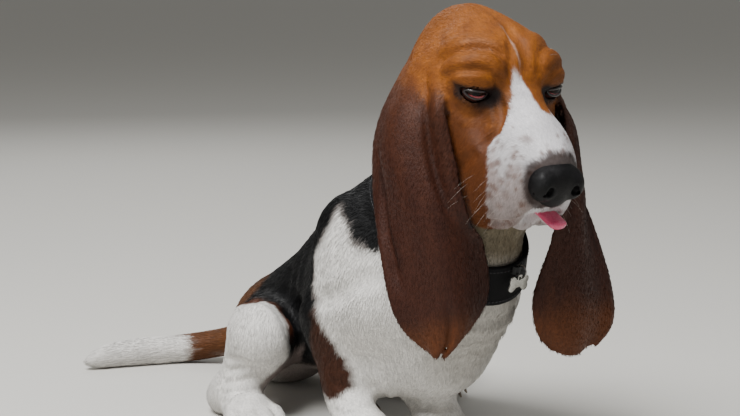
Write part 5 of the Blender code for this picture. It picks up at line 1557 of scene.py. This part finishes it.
outline = []
for turn in np.arange(160) * math.tau / 160:
    ray = np.array((math.cos(turn), math.sin(turn)))
    along_ray = np.arange(0, 0.02, 0.00005)[:, None] * ray
    inside = (abs(along_ray[:, 0]) < TAG_HALF_LENGTH) & (abs(along_ray[:, 1]) < TAG_BAR / 2)
    inside |= (abs(along_ray[:, 0]) < TAG_LUG) & (along_ray[:, 1] > 0) & (along_ray[:, 1] < TAG_BAR / 2 + 2 * TAG_LUG)
    for x_at in (-1, 1):
        for z_at in (-1, 1):
            inside |= np.hypot(*(along_ray - np.array((x_at * TAG_HALF_LENGTH, z_at * TAG_KNOB * 0.75))).T) < TAG_KNOB
    outline.append(along_ray[np.flatnonzero(inside)[-1]])
outline = np.array(outline)
for _ in range(3):
    outline = 0.5 * outline + 0.25 * (np.roll(outline, 1, 0) + np.roll(outline, -1, 0))
lug = np.array((0, TAG_BAR / 2 + 0.6 * TAG_LUG))
hole = np.array([lug + TAG_HOLE * np.array((math.cos(t), math.sin(t))) for t in np.arange(24) * math.tau / 24])
stamp = bmesh.new()
loops = []
for line in (outline, hole):
    verts = [stamp.verts.new((px, 0, pz)) for px, pz in line]
    loops += [stamp.edges.new((a, b)) for a, b in zip(verts, verts[1:] + verts[:1])]
filled = bmesh.ops.triangle_fill(stamp, use_beauty=True, edges=loops)
grown = bmesh.ops.extrude_face_region(stamp, geom=[f for f in stamp.faces])
for part in grown["geom"]:
    if isinstance(part, bmesh.types.BMVert):
        part.co.y += TAG_THICKNESS
bmesh.ops.translate(stamp, vec=(0, -TAG_THICKNESS / 2, 0), verts=stamp.verts)
bmesh.ops.recalc_face_normals(stamp, faces=stamp.faces)
rims = [e for e in stamp.edges if e.calc_face_angle(0) > 1]
bmesh.ops.bevel(stamp, geom=rims, offset=0.00028, segments=3, profile=0.5, affect="EDGES")
stamp.transform(PLATE)
bmesh.ops.translate(stamp, vec=SHIFT, verts=stamp.verts)
mesh = bpy.data.meshes.new("bone_tag")
stamp.to_mesh(mesh)
mesh.shade_smooth()
mesh.set_sharp_from_angle(angle=math.radians(35))
tag = bpy.data.objects.new("bone_tag", mesh)
bpy.context.scene.collection.objects.link(tag)
settle(tag, brushed, "steel", "tag")

half, deep, high = KEEPER[0] / 2, KEEPER[1], KEEPER[2]
bow = []
for share in np.linspace(0, 1, 25):
    angle = math.pi * share
    bow.append((-math.cos(angle) * half * 1.0, -0.0008 - math.sin(angle) ** 0.7 * (deep - 0.0004)))
profile = []
for level, inset in ((-0.5, 0.0002), (-0.46, 0.0), (0.46, 0.0), (0.5, 0.0002)):
    profile.append([BAND @ Vector((px, py + inset, level * high)) for px, py in bow])
points = np.array([[tuple(p) for p in row] for row in profile]).reshape(-1, 3)
loop_piece = mesh_piece("webbing_loop", points, grid_faces(4, len(bow)))
wall = loop_piece.modifiers.new("wall", "SOLIDIFY")
wall.thickness = 0.0011
wall.offset = 0.0
evaluated(loop_piece)
clean(loop_piece)
plain_webbing, tree = new_material("black_nylon_tape")
place = add(tree, "ShaderNodeTexCoord").outputs["Object"]
ribs = add(tree, "ShaderNodeTexWave", {"Vector": place, "Scale": 260.0, "Distortion": 0.4}, wave_type="BANDS", bands_direction="Z")
shader = add(tree, "ShaderNodeBsdfPrincipled", {"Base Color": ramp(tree, ribs.outputs["Fac"], ((0.0, "#020203"), (1.0, "#0C0C0E"))), "Roughness": 0.62, "IOR": 1.53})
bump = add(tree, "ShaderNodeBump", {"Height": ribs.outputs["Fac"], "Strength": 0.6, "Distance": 0.0003})
tree.links.new(bump.outputs["Normal"], shader.inputs["Normal"])
finish_material(tree, shader)
settle(loop_piece, plain_webbing, "webbing", "collar_keeper")


# The whiskers: stiff single hairs with a thick root, in rows on the flews, over the eyes and one on each
# cheek. They are pale on the white muzzle and bend a little under their own weight.
whisker_finish, tree = new_material("pale_whisker_keratin")
along = add(tree, "ShaderNodeAttribute", attribute_name="along")
tone = ramp(tree, along.outputs["Fac"], ((0.0, "#5A4A40"), (0.35, "#9A8F84"), (1.0, "#C8C0B6")))
finish_material(tree, add(tree, "ShaderNodeBsdfPrincipled", {"Base Color": tone, "Roughness": 0.35, "IOR": 1.54}))
random = np.random.default_rng(31)
points, faces, share_along = [], [], []
for side_of in (-1, 1):
    roots = [(side_of * (0.028 + 0.004 * i), 0.070 - 0.011 * i, -0.066 - 0.010 * row, 20) for row in range(3) for i in range(4)]
    roots += [(side_of * 0.030, -0.004, 0.026, 9), (side_of * 0.036, -0.008, 0.028, 8), (side_of * 0.058, -0.010, -0.060, 14)]
    for out_at, forward, height, long_mm in roots:
        root = np.array(in_head(out_at + random.uniform(-0.001, 0.001), forward + random.uniform(-0.002, 0.002), height))[None]
        for _ in range(5):
            root = root - flesh.outward(root) * (flesh.at(root) + COAT_DEPTH)[:, None]
        out_of = flesh.outward(root)[0]
        way = out_of * 0.75 + np.array((side_of * 0.25, 0.25, -0.35)) + random.normal(size=3) * 0.08
        way /= np.linalg.norm(way)
        reach = long_mm / 1000 * random.uniform(0.8, 1.15)
        line = [root[0] + way * reach * t + np.array((0, 0.15, -0.30)) * reach * t**2 for t in np.linspace(0, 1, 7)]
        base = len(points)
        spoke = np.cross(way, (0, 0, 1))
        spoke /= np.linalg.norm(spoke)
        other_way = np.cross(way, spoke)
        for i, spot in enumerate(line):
            radius = 0.00013 * (1 - i / 7.5)
            points += [spot + radius * (math.cos(a) * spoke + math.sin(a) * other_way) for a in (0, math.tau / 3, 2 * math.tau / 3)]
            share_along += [i / 6] * 3
        faces += [tuple(base + k for k in face) for face in grid_faces(7, 3, around=True)]
        faces += [(base + 2, base + 1, base), (base + 18, base + 19, base + 20)]
whiskers = mesh_piece("whiskers", points, faces)
keep(whiskers.data, "along", "FLOAT", np.array(share_along))
clean(whiskers)
settle(whiskers, whisker_finish, "coat")


# The camera stands at the photograph's place: low, ahead and to the hound's right. Round it is a plain
# pale floor and plain soft studio light: one broad lamp from above and ahead, a fill, and a pale room.
EYE_POINT = Vector((-0.8797, -1.4078, 0.472))
LOOK_WAY = Vector((0.50116, 0.85420, -0.13848))
FLOOR_REACH = 60
camera = bpy.data.objects.new("camera", bpy.data.cameras.new("camera"))
bpy.context.scene.collection.objects.link(camera)
camera.data.sensor_width = 36
camera.data.lens = 80.17
camera.location = EYE_POINT + Vector(SHIFT)
camera.rotation_euler = LOOK_WAY.to_track_quat("-Z", "Y").to_euler()
bpy.context.scene.camera = camera


def lamp(name, place, aim, watts, size):
    made = bpy.data.objects.new(name, bpy.data.lights.new(name, "AREA"))
    bpy.context.scene.collection.objects.link(made)
    made.data.energy = watts
    made.data.size = size
    made.location = place
    made.rotation_euler = (Vector(aim) - Vector(place)).to_track_quat("-Z", "Y").to_euler()


lamp("key_lamp", (-1.3, -0.7, 2.6), (0, 0, 0.2), 152, 1.5)
lamp("fill_lamp", (2.2, -1.6, 1.5), (0, 0, 0.2), 8, 2.0)
lamp("back_lamp", (0.6, 2.6, 2.0), (0, 0.1, 0.2), 22, 1.6)
room = bpy.data.worlds.new("room")
room.use_nodes = True
room.node_tree.nodes["Background"].inputs["Color"].default_value = colour("#F1F0EC")
room.node_tree.nodes["Background"].inputs["Strength"].default_value = 0.28
bpy.context.scene.world = room
floor_finish, tree = new_material("pale_painted_floor")
finish_material(tree, add(tree, "ShaderNodeBsdfPrincipled", {"Base Color": colour("#CFCDC7"), "Roughness": 0.85}))
mesh = bpy.data.meshes.new("floor")
mesh.from_pydata([(x * FLOOR_REACH, y * FLOOR_REACH, 0) for x, y in ((-1, -1), (1, -1), (1, 1), (-1, 1))], [], [(0, 1, 2, 3)])
floor = bpy.data.objects.new("floor", mesh)
bpy.context.scene.collection.objects.link(floor)
mesh.materials.append(floor_finish)
